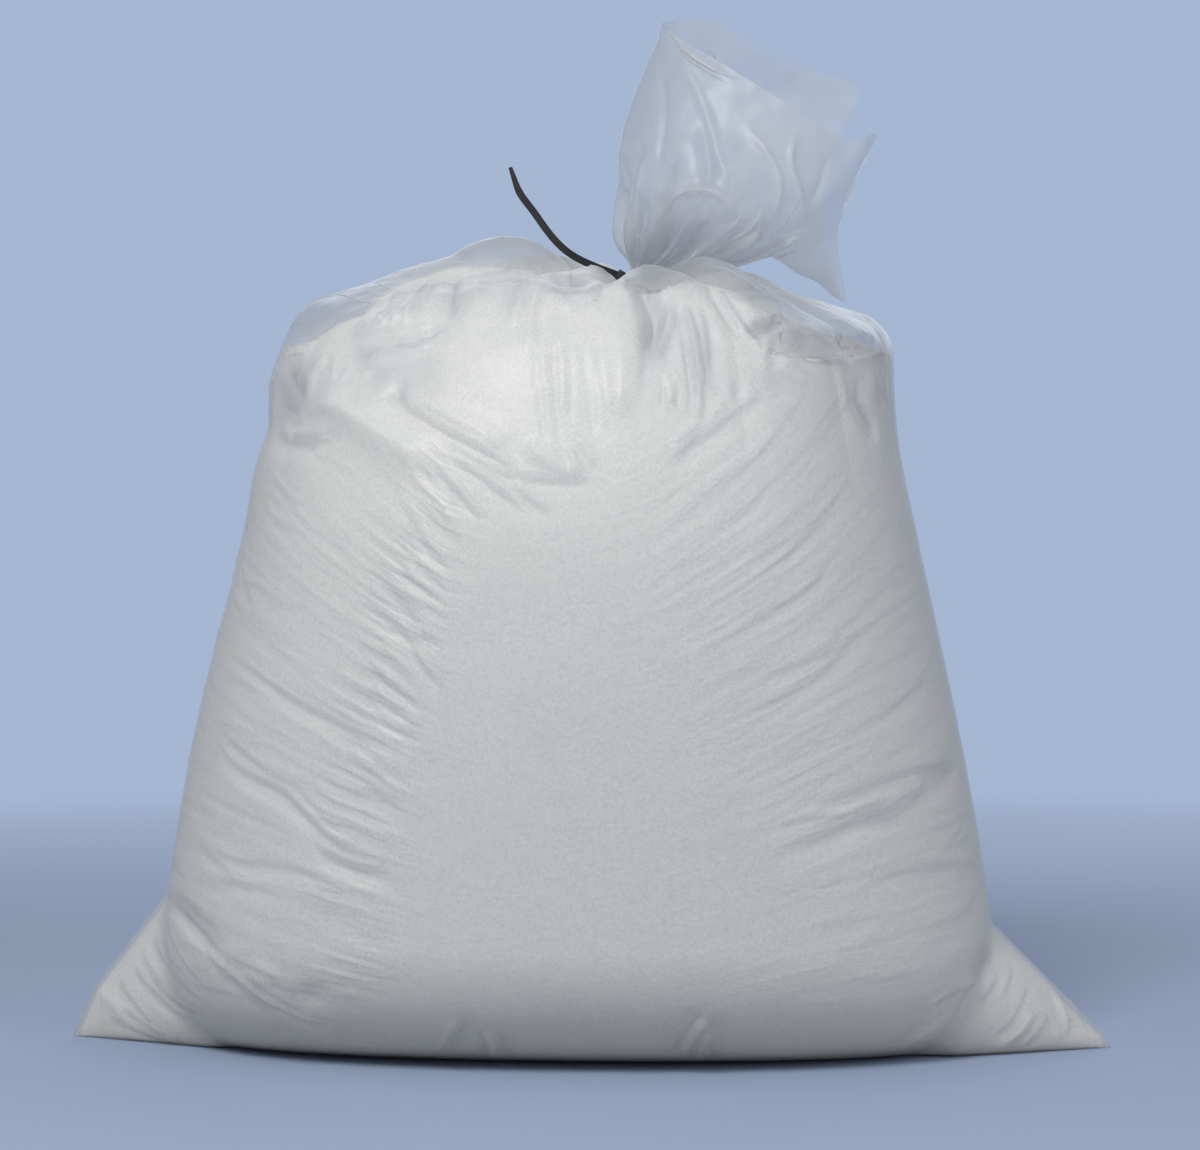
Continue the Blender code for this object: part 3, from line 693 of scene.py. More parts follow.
SHOULDER_CREASES = (
    # the panel left of the main crease, and the crease from the left shoulder to the middle
    ("ridge", 20, 5.0, ((300, 372), (330, 398), (365, 424), (400, 446), (440, 470))),
    ("valley", 8, 3.4, ((338, 336), (352, 350), (366, 364), (384, 381), (408, 404))),
    ("valley", 18, 2.0, ((372, 354), (390, 360), (412, 364), (442, 358))),
    ("fold", 4, 2.0, ((396, 394), (410, 404), (430, 417), (456, 432), (484, 447), (510, 461), (528, 468))),
    ("ridge", 12, 2.2, ((404, 390), (430, 404), (456, 419), (484, 434), (512, 450))),
    ("valley", 6, 2.4, ((380, 378), (388, 387), (395, 395), (402, 404), (410, 415))),
    ("fold", 5, 1.3, ((440, 432), (462, 447), (482, 459), (505, 468), (535, 474), (568, 476), (604, 474))),
    ("ridge", 9, 3.0, ((520, 446), (545, 456), (566, 466), (590, 468))),
    ("fold", 4, 1.8, ((432, 462), (452, 480), (470, 500), (484, 516))),
    ("fold", 4, 1.8, ((448, 452), (478, 470), (505, 490), (528, 508))),
    ("fold", 4, 1.4, ((510, 478), (530, 494), (552, 510))),
    # the wedge of the heap and the fold under it
    ("ridge", 13, 5.0, ((345, 334), (372, 326), (400, 316), (430, 304))),
    ("valley", 5, 4.2, ((344, 351), (366, 348), (394, 342), (422, 335), (452, 324))),
    ("ridge", 6, 2.6, ((352, 358), (380, 354), (412, 350), (444, 340))),
    ("pleat", 4, 1.6, ((404, 286), (396, 300), (386, 318), (380, 332))),
    ("pleat", 4, 1.8, ((432, 274), (424, 292), (412, 312), (402, 330))),
    # the left panel
    ("fold", 6, 2.6, ((329, 352), (322, 362), (314, 373), (309, 390))),
    ("pleat", 4, 1.2, ((334, 356), (336, 376), (335, 398))),
    ("pleat", 4, 1.0, ((346, 366), (348, 384), (346, 404))),
    ("fold", 6, 2.4, ((276, 428), (292, 434), (312, 436), (332, 430))),
    ("valley", 8, 3.0, ((272, 398), (284, 408), (300, 418))),
    # the middle of the heap
    ("valley", 6, 3.4, ((455, 266), (455, 284), (452, 304), (448, 324))),
    ("ridge", 10, 3.0, ((478, 272), (476, 296), (470, 320), (466, 342))),
    ("fold", 5, 2.6, ((527, 272), (522, 286), (516, 304), (514, 326))),
    ("pleat", 4, 1.6, ((540, 276), (534, 296), (530, 320), (530, 350))),
    ("valley", 15, 6.0, ((556, 272), (572, 280), (590, 272))),
    ("ridge", 6, 3.4, ((549, 280), (557, 296), (568, 307), (582, 302), (594, 290), (604, 276))),
    ("pleat", 4, 0.8, ((540, 330), (544, 366), (549, 408), (553, 452))),
    ("pleat", 4, 0.7, ((560, 330), (563, 376), (561, 428))),
    ("pleat", 5, 0.7, ((588, 330), (596, 380), (603, 440))),
    ("ridge", 14, 3.0, ((612, 290), (618, 330), (622, 380), (618, 430))),
    ("fold", 5, 2.0, ((580, 438), (588, 452), (592, 466))),
    ("fold", 5, 1.8, ((566, 444), (574, 458), (578, 470))),
    # gathers that run down from the neck on the right
    ("valley", 8, 9.0, ((636, 278), (646, 292), (654, 308), (656, 332), (653, 358))),
    ("pleat", 5, 3.2, ((653, 364), (661, 338), (668, 316), (674, 298))),
    ("pleat", 5, 3.6, ((680, 296), (687, 318), (693, 342), (697, 368), (699, 398))),
    ("valley", 6, 3.0, ((700, 300), (708, 322), (712, 350), (712, 384))),
    ("pleat", 5, 2.6, ((714, 286), (724, 302), (736, 320), (750, 338))),
    ("pleat", 4, 1.8, ((672, 372), (670, 392), (668, 410))),
    ("pleat", 4, 2.0, ((699, 384), (698, 400), (696, 418))),
    ("fold", 5, 2.2, ((726, 396), (733, 384), (742, 372))),
    ("fold", 6, 2.6, ((769, 336), (765, 350), (761, 368))),
    ("fold", 6, 1.6, ((760, 366), (780, 362), (800, 366))),
    ("fold", 5, 1.5, ((768, 384), (740, 404), (712, 424), (690, 440), (664, 460))),
    ("fold", 5, 1.6, ((700, 420), (686, 436), (672, 456))),
    ("ridge", 7, 1.4, ((784, 420), (750, 452), (715, 480), (690, 500))),
    # the right shoulder's fold, and the creases under it
    ("lip", 17, 13.0, ((752, 330), (766, 343), (790, 351), (815, 356), (847, 354), (868, 352), (886, 350))),
    ("ridge", 5, 2.4, ((826, 326), (834, 334), (842, 344), (850, 352))),
    ("valley", 7, 3.6, ((852, 384), (860, 400), (868, 416), (880, 440))),
    ("ridge", 8, 2.6, ((866, 368), (880, 388), (890, 404))),
    ("valley", 8, 4.0, ((884, 352), (882, 366), (884, 380))),
)
WALL_CREASES = (
    # long wrinkles that hang from the left side
    ("fold", 5, 3.4, ((214, 735), (240, 764), (262, 776), (286, 788), (306, 808), (326, 828),
                      (344, 842), (364, 850))),
    ("fold", 5, 3.4, ((314, 838), (334, 852), (352, 860), (376, 866), (394, 868))),
    ("fold", 5, 2.2, ((222, 730), (248, 750), (272, 770))),
    ("fold", 5, 2.4, ((236, 656), (262, 672), (300, 698), (340, 718), (372, 734), (410, 746))),
    ("fold", 5, 2.0, ((362, 596), (384, 610), (398, 622), (424, 632), (452, 640))),
    ("fold", 4, 1.8, ((396, 616), (412, 640), (430, 668), (452, 690))),
    ("fold", 4, 2.0, ((372, 684), (388, 698), (412, 710))),
    ("fold", 4, 1.8, ((380, 672), (400, 688), (420, 700))),
    ("fold", 4, 1.6, ((372, 706), (396, 722), (424, 734))),
    ("fold", 4, 1.6, ((346, 746), (372, 764), (392, 776))),
    ("fold", 5, 1.6, ((206, 850), (240, 856), (290, 862), (340, 880))),
    ("fold", 5, 1.2, ((196, 870), (236, 878), (280, 886))),
    ("fold", 4, 1.6, ((400, 560), (420, 580), (440, 600))),
    # long wrinkles that hang from the right side
    ("fold", 5, 3.6, ((958, 766), (932, 780), (908, 792), (884, 806), (852, 818), (820, 830),
                      (790, 840), (764, 856))),
    ("valley", 5, 3.6, ((962, 766), (950, 771), (934, 779), (916, 790))),
    ("fold", 5, 2.2, ((946, 758), (920, 764), (880, 776), (838, 792), (800, 802))),
    ("fold", 5, 2.0, ((930, 788), (900, 804), (862, 810), (820, 814), (776, 820))),
    ("ridge", 4, 2.0, ((822, 826), (800, 836), (780, 846), (768, 854))),
    ("fold", 5, 1.8, ((976, 856), (940, 862), (900, 868), (860, 880))),
    ("fold", 5, 1.4, ((870, 618), (840, 642), (800, 660), (752, 676))),
    ("fold", 5, 1.4, ((856, 636), (820, 670), (780, 694), (740, 712))),
    ("fold", 5, 1.2, ((850, 480), (810, 520), (780, 540), (740, 566))),
    ("fold", 5, 1.2, ((830, 560), (800, 590), (770, 604), (738, 622))),
    # small gathers in the bottom edge
    ("fold", 6, 3.0, ((436, 1056), (440, 1046), (448, 1032), (460, 1016))),
    ("pleat", 5, 3.0, ((494, 1058), (492, 1046), (486, 1030))),
    ("pleat", 5, 3.4, ((684, 1060), (688, 1046), (698, 1030), (712, 1014))),
    ("pleat", 5, 2.8, ((700, 1060), (702, 1048), (708, 1036))),
)
EAR_CREASES = (
    # the left ear: its two main creases, the facets beside them, and the folds across it
    ("valley", 6, 8.0, ((166, 898), (180, 915), (196, 932), (212, 948), (228, 960))),
    ("fold", 6, 5.5, ((204, 944), (222, 962), (242, 980), (262, 996), (290, 1012))),
    ("fold", 5, 4.0, ((228, 955), (250, 962), (272, 972), (286, 982))),
    ("valley", 5, 4.5, ((262, 984), (286, 990), (310, 996), (326, 998))),
    ("ridge", 7, 4.0, ((204, 946), (216, 958), (230, 970))),
    ("ridge", 9, 4.5, ((238, 966), (258, 976), (280, 984), (310, 990))),
    ("fold", 5, 3.2, ((262, 996), (290, 1012), (312, 1020), (326, 1022))),
    ("fold", 5, 3.4, ((133, 958), (144, 976), (158, 992), (176, 1008), (196, 1022))),
    ("fold", 5, 2.8, ((146, 966), (160, 984), (178, 1000), (200, 1014))),
    ("fold", 5, 2.8, ((118, 972), (130, 992), (142, 1008), (158, 1026))),
    ("ridge", 6, 3.2, ((98, 986), (106, 997), (118, 1010), (126, 1022))),
    ("fold", 5, 2.6, ((108, 1014), (134, 1026), (158, 1036), (184, 1044))),
    ("fold", 5, 2.2, ((122, 1002), (146, 1022), (172, 1036))),
    ("fold", 5, 2.2, ((166, 916), (174, 940), (188, 964), (208, 986))),
    ("fold", 5, 2.2, ((152, 930), (164, 956), (182, 980), (206, 1002))),
    ("fold", 5, 1.8, ((140, 946), (150, 962), (166, 984))),
    # the right ear
    ("valley", 6, 8.0, ((994, 936), (992, 952), (985, 968), (976, 984))),
    ("fold", 6, 5.5, ((985, 965), (970, 984), (958, 1000), (942, 1018), (920, 1034), (890, 1050))),
    ("fold", 5, 4.0, ((978, 978), (960, 986), (942, 996), (924, 1010))),
    ("ridge", 7, 4.0, ((956, 1002), (940, 1022), (924, 1036), (900, 1046))),
    ("fold", 5, 4.5, ((1048, 1010), (1038, 1028), (1024, 1042), (1006, 1054))),
    ("ridge", 6, 3.6, ((1034, 1006), (1022, 1026), (1008, 1040), (990, 1052))),
    ("fold", 5, 3.2, ((1064, 996), (1076, 1012), (1084, 1030))),
    ("fold", 5, 2.6, ((1050, 988), (1060, 1004), (1066, 1024), (1062, 1042))),
    ("fold", 5, 2.2, ((1010, 958), (1006, 980), (998, 1000))),
    ("fold", 5, 2.4, ((1026, 978), (1020, 998), (1010, 1018), (990, 1036))),
    ("fold", 5, 2.0, ((996, 968), (990, 984), (978, 1002))),
)
# The creases of the bag, the share of their length over which each end tapers, and a factor on their height
BAG_CREASES = (
    (SHOULDER_CREASES, 0.25, 1.8),
    (WALL_CREASES, 0.3, 1.5),
    (EAR_CREASES, 0.25, 1.0),
)
# Profile of a thin raised fold: places across it and its height there, in half widths
GLINT_PROFILE = ((-1.0, 0.0), (-0.5, 0.55), (0.0, 0.8), (0.5, 0.55), (1.0, 0.0))
GLINT_POINTS = 22
GLINT_LIFT = 0.0003
# Thin folds where the film is doubled, milky white partly for that and partly as painted highlights: their
# width in millimetres, and pixels
TOP_GLINTS = (
    (2.2, ((296, 318), (306, 308), (320, 298), (334, 296))),
    (2.4, ((332, 294), (346, 296), (361, 301), (380, 305))),
    (2.4, ((372, 276), (380, 284), (388, 289))),
    (2.0, ((400, 268), (396, 276), (400, 284))),
    (2.0, ((286, 334), (292, 326), (302, 322))),
    (1.8, ((428, 266), (452, 262), (478, 264))),
    (2.6, ((826, 327), (833, 335), (839, 344), (843, 352))),
    (1.8, ((782, 327), (780, 334), (781, 342))),
    (1.6, ((700, 266), (722, 268), (746, 280), (768, 296))),
    (1.6, ((752, 292), (770, 288), (792, 290))),
)
PLUME_GLINTS = (
    (4.0, ((667, 27), (684, 50), (700, 62), (718, 72), (736, 79))),
    (2.4, ((672, 34), (690, 60), (706, 70), (728, 84))),
    (3.0, ((702, 60), (710, 52), (718, 66))),
    (3.0, ((750, 270), (770, 261), (794, 251))),
    (2.6, ((690, 262), (694, 255), (698, 249))),
    (2.2, ((636, 234), (639, 242), (638, 250))),
    (1.8, ((668, 212), (677, 196), (692, 190), (712, 191))),
    (1.6, ((724, 236), (736, 226), (742, 212))),
    (1.4, ((752, 226), (756, 210), (758, 200))),
    (1.4, ((770, 240), (790, 214), (806, 190))),
)
# Creases of the plume, with the same share and factor for all of them
PLUME_TAPER = 0.35
PLUME_DEPTH = 1.2
PLUME_CREASES = (
    ("ridge", 4, 3.0, ((668, 32), (684, 50), (700, 62), (718, 74), (736, 84))),
    ("ridge", 4, 3.0, ((671, 42), (688, 72), (701, 99), (711, 128), (717, 154), (732, 190))),
    ("valley", 6, 4.0, ((660, 60), (664, 100), (662, 140), (655, 180))),
    ("ridge", 4, 3.0, ((740, 119), (762, 145), (778, 178), (777, 205), (768, 227))),
    ("valley", 7, 5.0, ((700, 120), (706, 150), (708, 180), (700, 200))),
    ("ridge", 5, 4.0, ((660, 224), (666, 208), (677, 195), (692, 191), (713, 192), (728, 202),
                       (732, 216), (724, 236))),
    ("ridge", 4, 3.0, ((716, 246), (735, 238), (752, 225), (765, 205))),
    ("ridge", 4, 3.0, ((735, 252), (752, 240), (764, 214))),
    ("valley", 5, 3.0, ((622, 150), (626, 190), (630, 236))),
    ("ridge", 4, 3.0, ((644, 150), (638, 190), (636, 236))),
    ("ridge", 5, 3.0, ((800, 120), (790, 160), (800, 200), (806, 226))),
    ("valley", 6, 3.0, ((830, 150), (822, 180), (806, 210))),
)


# Bands of drawn wrinkles on the front: how many, where the inner ends of the highest and lowest lie and
# how far they stray in pixels, their slopes in degrees, lengths in pixels and heights in millimetres
WRINKLE_BANDS = (
    (34, (474, 505), (402, 810), 10, (50, 24), (50, 110), (0.9, 1.8)),
    (22, (330, 470), (262, 900), 60, (34, 14), (70, 150), (0.5, 1.0)),
    (28, (735, 460), (820, 840), 40, (134, 158), (70, 170), (0.5, 1.1)),
    (14, (880, 520), (935, 900), 30, (150, 168), (50, 120), (0.4, 0.9)),
)
# Their widths in millimetres, and the share of their length over which each end tapers
WRINKLE_WIDTHS = (4.2, 5.6)
WRINKLE_TAPER = 0.45
# Wrinkles of the back and the sides: side (-1 in front), how many, least and greatest azimuth in degrees
ROUND_WRINKLES = ((-1, 44, 4, 24), (1, 130, 8, 62))
# Their starts above the floor, lengths and widths in metres, slopes in degrees and heights in millimetres
ROUND_STARTS = (0.08, 0.62)
ROUND_SLOPES = (16, 42)
ROUND_LENGTHS = (0.05, 0.16)
ROUND_WIDTHS = (0.0042, 0.0060)
ROUND_HEIGHTS = (0.5, 1.4)
ROUND_TAPER = 0.4
# How low such a wrinkle may end, its points, and the radius by which a way along the wall becomes an angle
ROUND_FLOOR = 0.015
ROUND_POINTS = 10
ROUND_RADIUS = 0.36


def front_wrinkles(surface, rng):
    """Drawn wrinkles of the front, each a slack curve that flattens towards the middle."""
    made = []
    for count, upper, lower, stray, slopes, lengths, heights in WRINKLE_BANDS:
        for index in range(count):
            down = (index + rng.uniform(0.1, 0.9)) / count
            end = np.array(upper) * (1 - down) + np.array(lower) * down
            end = end + (rng.uniform(-1, 1) * stray, 0)
            slope = slopes[0] * (1 - down) + slopes[1] * down + rng.uniform(-4, 4)
            length = rng.uniform(*lengths)
            height = rng.uniform(*heights)
            path = []
            for share in np.linspace(-1, 0, 11):
                turn = math.radians(slope - (12 if slope < 90 else -12) * (share + 0.5))
                path.append(end + length * share * np.array([math.cos(turn), math.sin(turn)]))
            width = rng.uniform(*WRINKLE_WIDTHS)
            found = [surface.seen_at(at) for at in path]
            made.append(stroke_through(found, "fold", width * 1e-3, height * 1e-3, WRINKLE_TAPER))
    return [stroke for stroke in made if stroke is not None]


def round_wrinkles(surface, rng):
    """Drawn wrinkles of the back and of both sides, placed by azimuth and height."""
    made = []
    for side, count, first, last in ROUND_WRINKLES:
        for _ in range(count):
            left = rng.random() < 0.5
            azimuth = rng.uniform(first, last)
            height = rng.uniform(*ROUND_STARTS)
            steep = math.radians(rng.uniform(*ROUND_SLOPES)) * ease((height - 0.02) / 0.25)
            length = rng.uniform(*ROUND_LENGTHS)
            width = rng.uniform(*ROUND_WIDTHS)
            strength = rng.uniform(*ROUND_HEIGHTS) * 1e-3
            found = []
            step = length / (ROUND_POINTS - 1)
            for _ in range(ROUND_POINTS):
                turn = azimuth if side > 0 else -azimuth
                found.append(surface.lies_at(180 - turn if left else turn, height))
                azimuth += math.degrees(step * math.cos(steep) / ROUND_RADIUS)
                height -= step * math.sin(steep)
            if height > ROUND_FLOOR:
                made.append(stroke_through(found, "fold", width, strength, ROUND_TAPER))
    return [stroke for stroke in made if stroke is not None]


def hang_of(grid):
    """Height of each point along the lines on which the film hangs, steeper higher up."""
    sag = np.interp(np.abs(grid[..., 0]), *SAG_ASIDE)
    return grid[..., 2] - sag * np.interp(grid[..., 2], *SAG_SHARE)


def drape_band(x, z, heights, middles, reach, strength):
    """Strength of the fine wrinkles in a band of the front, which leans from one height to another."""
    return strength * np.exp(-(((x - np.interp(z, heights, middles)) / reach) ** 2))


def drape_strength(grid):
    """Where the film is drawn into fine wrinkles: a narrow band on the left, a broad one on the right."""
    x, y, z = np.moveaxis(grid, 2, 0)
    left = drape_band(x, z, *LEFT_BAND)
    right = drape_band(x, z, *RIGHT_BAND)
    behind = 0.6 * np.exp(-(((np.abs(x) - 0.22) / 0.110) ** 2))
    sides = 0.28 * ease((np.abs(x) - 0.05) / 0.18)
    bands = np.where(y < 0, np.maximum(left, right), behind)
    return np.maximum(bands, sides) * ease((z - 0.02) / 0.10) * ease((0.66 - z) / 0.12)


def drape_noise(grid):
    """Low wrinkles along the lines on which the wall's film hangs, and the crumples of the slack top."""
    points = grid.reshape(-1, 3)
    x, _, z = points.T
    place = np.column_stack([hang_of(points) / DRAPE_WIDTH, np.abs(x) / DRAPE_LENGTH, np.sign(x) * 7])
    coarse_seed, fine_seed, patch_seed = DRAPE_SEEDS
    coarse = 1 - np.abs(noise(place, coarse_seed)) * 2
    fine = 1 - np.abs(noise(place * (1.9, 1.6, 1) + 17, fine_seed)) * 2
    patchy = 0.7 + 0.5 * noise(points / DRAPE_PATCH, patch_seed)
    heights = DRAPE_HEIGHT * (coarse + 0.35 * fine) * drape_strength(grid).ravel() * patchy
    slack = ease((z - 0.66) / 0.06)
    return (heights + slack * crumples(points, SLACK_CRUMPLES)).reshape(grid.shape[:2])


def drape_values(grid):
    """The values that the materials need to carry on the wrinkles finer than the grid."""
    return [("hang", hang_of(grid)), ("aside", np.abs(grid[..., 0])), ("drape", drape_strength(grid))]


# Meshes and materials


def grid_mesh(name, grid, normals, closed, attributes):
    """A mesh of quads from a grid of points, with the normals and named values of the whole skin."""
    mesh = bpy.data.meshes.new(name)
    faces = grid_faces(*grid.shape[:2], closed)
    mesh.from_pydata((grid.reshape(-1, 3) + BAG_AXIS).tolist(), [], faces.tolist())
    mesh.shade_smooth()
    mesh.normals_split_custom_set_from_vertices(normals.reshape(-1, 3).tolist())
    for label, values in attributes:
        layer = mesh.attributes.new(label, "FLOAT", "POINT")
        layer.data.foreach_set("value", np.ascontiguousarray(values.reshape(-1), np.float32))
    return mesh


def place_piece(name, mesh, finish, node):
    """Puts a piece in the scene in place of a solid."""
    piece = bpy.data.objects.new(name, mesh)
    piece.data.materials.append(finish)
    bpy.context.scene.collection.objects.link(piece)
    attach(piece, "root")
    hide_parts(node)
    return piece


def new_material(name):
    """A material without nodes, and its node tree."""
    made = bpy.data.materials.new(name)
    made.use_nodes = True
    tree = made.node_tree
    tree.nodes.clear()
    return made, tree


def add_node(tree, kind, settings=(), **sockets):
    """A shader node. A socket is given a value, or another node's output to be linked to."""
    made = tree.nodes.new("ShaderNode" + kind)
    for key, value in settings:
        setattr(made, key, value)
    for key, value in sockets.items():
        numbered = key[0] == "i" and key[1:].isdigit()
        socket = made.inputs[int(key[1:])] if numbered else made.inputs[key.replace("_", " ")]
        if isinstance(value, bpy.types.NodeSocket):
            tree.links.new(value, socket)
        else:
            socket.default_value = value
    return made


def mesh_value(tree, label):
    """A named value of the mesh."""
    return add_node(tree, "Attribute", (("attribute_name", label),)).outputs["Fac"]


def computed(tree, operation, first, second, clamped=False):
    """Two values put together."""
    settings = (("operation", operation), ("use_clamp", clamped))
    return add_node(tree, "Math", settings, i0=first, i1=second).outputs[0]


def remapped(tree, value, low, high, new_low=0.0, new_high=1.0):
    """A value carried from one range to another."""
    return add_node(tree, "MapRange", i0=value, i1=low, i2=high, i3=new_low, i4=new_high).outputs[0]


def mixed_colour(tree, share, first, second):
    """A colour between two others."""
    return add_node(tree, "Mix", (("data_type", "RGBA"),), i0=share, i6=first, i7=second).outputs[2]


def mixed_shader(tree, share, first, second):
    """A shader between two others."""
    return add_node(tree, "MixShader", i0=share, i1=first, i2=second).outputs[0]


def patches(tree, place, scale, detail, roughness=0.5):
    """Cloudy noise."""
    made = add_node(tree, "TexNoise", Vector=place, Scale=scale, Detail=detail, Roughness=roughness)
    return made.outputs["Fac"]


def cells(tree, place, scale):
    """Distance from the middle of the nearest of many cells, which stand for beads."""
    return add_node(tree, "TexVoronoi", Vector=place, Scale=scale).outputs["Distance"]


def solid_shader(tree, colour, roughness, normal, specular):
    """A plain surface of one colour."""
    made = add_node(tree, "BsdfPrincipled", Base_Color=colour, Roughness=roughness, Normal=normal)
    made.inputs["Specular IOR Level"].default_value = specular
    return made.outputs[0]


def drape_bump(tree):
    """Fine drawn wrinkles, as bump that follows the lines on which the film hangs."""
    hang, aside, drape = (mesh_value(tree, label) for label in ("hang", "aside", "drape"))
    across = computed(tree, "MULTIPLY", hang, WAVES_ACROSS)
    along = computed(tree, "MULTIPLY", aside, WAVES_ALONG)
    place = add_node(tree, "CombineXYZ", X=across, Y=along).outputs[0]
    height = computed(tree, "MULTIPLY", remapped(tree, patches(tree, place, 1.0, 1.6), 0.42, 0.72), drape)
    return add_node(tree, "Bump", Strength=1.0, Distance=WAVE_HEIGHT, Height=height).outputs[0]


def film_material():
    """Clear film: see-through where it lies on the beads, milkier where it stands free, and there a cooler
    grey that is painted shade.
    """
    made, tree = new_material("clear_film")
    place = add_node(tree, "TexCoord").outputs["Object"]
    free = mesh_value(tree, "free")
    broad = remapped(tree, patches(tree, place, 14.0, 4.0, 0.6), 0.3, 0.7, 0.93, 1.07)
    milky = computed(tree, "MULTIPLY", mesh_value(tree, "veil"), broad, True)
    fine = patches(tree, place, 85.0, 5.0, 0.65)
    beads = cells(tree, place, PRESSED_CELLS)
    # Darker between the pressed beads: painted shade
    touching_with_painted_gaps = mixed_colour(tree, remapped(tree, beads, 0.25, 0.80), FILM_ON_BEADS, FILM_PAINTED_SHADE_BETWEEN_BEADS)
    # Towards a bluish grey where the film stands free and in sunken creases: painted shade
    tint_and_painted_shade = mixed_colour(tree, free, touching_with_painted_gaps, FILM_FREE_PAINTED_SHADE)
    drawn = drape_bump(tree)
    crinkles = add_node(tree, "Bump", Strength=0.16, Distance=0.0010, Height=fine, Normal=drawn).outputs[0]
    pressed = add_node(tree, "Bump", Strength=0.12, Distance=0.0006, Height=beads, Normal=crinkles).outputs[0]
    body = solid_shader(tree, tint_and_painted_shade, remapped(tree, fine, 0.3, 0.7, 0.36, 0.50), pressed, 0.35)
    through = add_node(tree, "BsdfTranslucent", Color=FILM_THROUGH).outputs[0]
    clear = add_node(tree, "BsdfTransparent", Color=FILM_CLEAR).outputs[0]
    hazed = mixed_shader(tree, milky, clear, mixed_shader(tree, 0.40, body, through))
    gloss = add_node(tree, "BsdfGlossy", Color=FILM_GLOSS, Roughness=0.30, Normal=crinkles).outputs[0]
    edge = add_node(tree, "Fresnel", IOR=1.40, Normal=crinkles).outputs[0]
    lit = computed(tree, "MULTIPLY", edge, remapped(tree, free, 0.0, 1.0, 0.25, 0.45))
    add_node(tree, "OutputMaterial", Surface=mixed_shader(tree, lit, hazed, gloss))
    return made


def bead_material():
    """White expanded beads, about 3 mm across, with painted shade in the gaps between them."""
    made, tree = new_material("white_beads")
    place = add_node(tree, "TexCoord").outputs["Object"]
    beads = cells(tree, place, BEAD_CELLS)
    white = mixed_colour(tree, patches(tree, place, 30.0, 4.0), *BEAD_WHITES)
    # Darker in the gaps between the beads: painted shade
    colour = mixed_colour(tree, remapped(tree, beads, 0.25, 0.85), white, BEAD_GAP_PAINTED_SHADE)
    sockets = {"Strength": 0.55, "Distance": 0.0011, "Height": beads, "Normal": drape_bump(tree)}
    bump = add_node(tree, "Bump", (("invert", True),), **sockets).outputs[0]
    add_node(tree, "OutputMaterial", Surface=solid_shader(tree, colour, 0.70, bump, 0.3))
    return made


def nylon_material():
    """Black nylon with a fine grain."""
    made, tree = new_material("black_nylon")
    place = add_node(tree, "TexCoord").outputs["Object"]
    grain = patches(tree, place, 900.0, 4.0)
    tone = mixed_colour(tree, grain, *NYLON_BLACKS)
    bump = add_node(tree, "Bump", Strength=0.25, Distance=0.0003, Height=grain).outputs[0]
    rough = remapped(tree, grain, 0.3, 0.7, 0.42, 0.58)
    add_node(tree, "OutputMaterial", Surface=solid_shader(tree, tone, rough, bump, 0.3))
    return made


# Film


def film_grid():
    """The film from the bottom seam to the tie, still without creases."""
    standing = wall_grid(WALL_ROWS, FRONT_COLUMNS, BACK_COLUMNS)
    rows = underside(standing[0], UNDER_ROWS, RIGHT_TIP, LEFT_TIP, BACK_COLUMNS) + standing
    shoulder = section(SHOULDER_HEIGHT, FRONT_COLUMNS, BACK_COLUMNS)
    rows.extend(top_ring(shoulder, share) for share in top_shares(TOP_ROWS))
    return swollen(np.array(rows))


def gathered_share(grid, girth):
    """How tightly each row is gathered, from 0 where it is flat to 1 at the neck."""
    rows = np.linalg.norm(grid - np.roll(grid, 1, axis=1), axis=2).sum(axis=1)
    share = np.clip((girth / rows - 1.6) / 12, 0, 1) ** 0.7
    return np.repeat(share[:, None], grid.shape[1], axis=1)


def creased_film(base, creases):
    """The film's grid with its creases, and the height of each point over the smooth film."""
    normals = normals_of(base)
    height = stroke_heights(base, normals, creases) + drape_noise(base)
    height[: UNDER_ROWS + 1] = 0
    height[-1] = 0
    grid = base + normals * height[..., None]
    grid[..., 2] = np.maximum(grid[..., 2], 0.0)
    return grid, height


def make_film(finish, base, grid, height, heap):
    """The pieces of the film below the tie, all with the normals of the whole skin."""
    shading = normals_of(grid)
    apart = Surface(heap, 1).distance_to(grid.reshape(-1, 3)).reshape(grid.shape[:2])
    # free tints film off the beads and in sunken creases a bluish grey, as painted shade
    sunken = np.clip(-height / HOLLOW_DEPTH, 0, 1)
    free = np.maximum(ease((apart - FREE_START) / FREE_REACH), 0.75 * sunken)
    # The sunken creases are milkier, partly for the doubled film and partly as painted shade
    veil = FILM_VEIL + HOLLOW_VEIL * sunken + GATHERED_VEIL * gathered_share(grid, TOP_GIRTH)
    named = [("veil", veil), ("free", free)] + drape_values(base)
    wall = UNDER_ROWS + WALL_ROWS + 1
    front = np.r_[BACK_COLUMNS : BACK_COLUMNS + FRONT_COLUMNS, 0]
    back = np.arange(0, BACK_COLUMNS + 1)
    middle = wall // 2
    for name, rows, columns, closed in (
        ("film_wall_front_low", slice(0, middle + 1), front, False),
        ("film_wall_front_high", slice(middle, wall), front, False),
        ("film_wall_back", slice(0, wall), back, False),
        ("film_top", slice(wall - 1, None), slice(None), True),
    ):
        values = [(label, value[rows][:, columns]) for label, value in named]
        mesh = grid_mesh(name, grid[rows][:, columns], shading[rows][:, columns], closed, values)
        place_piece(name, mesh, finish, "film_bag")


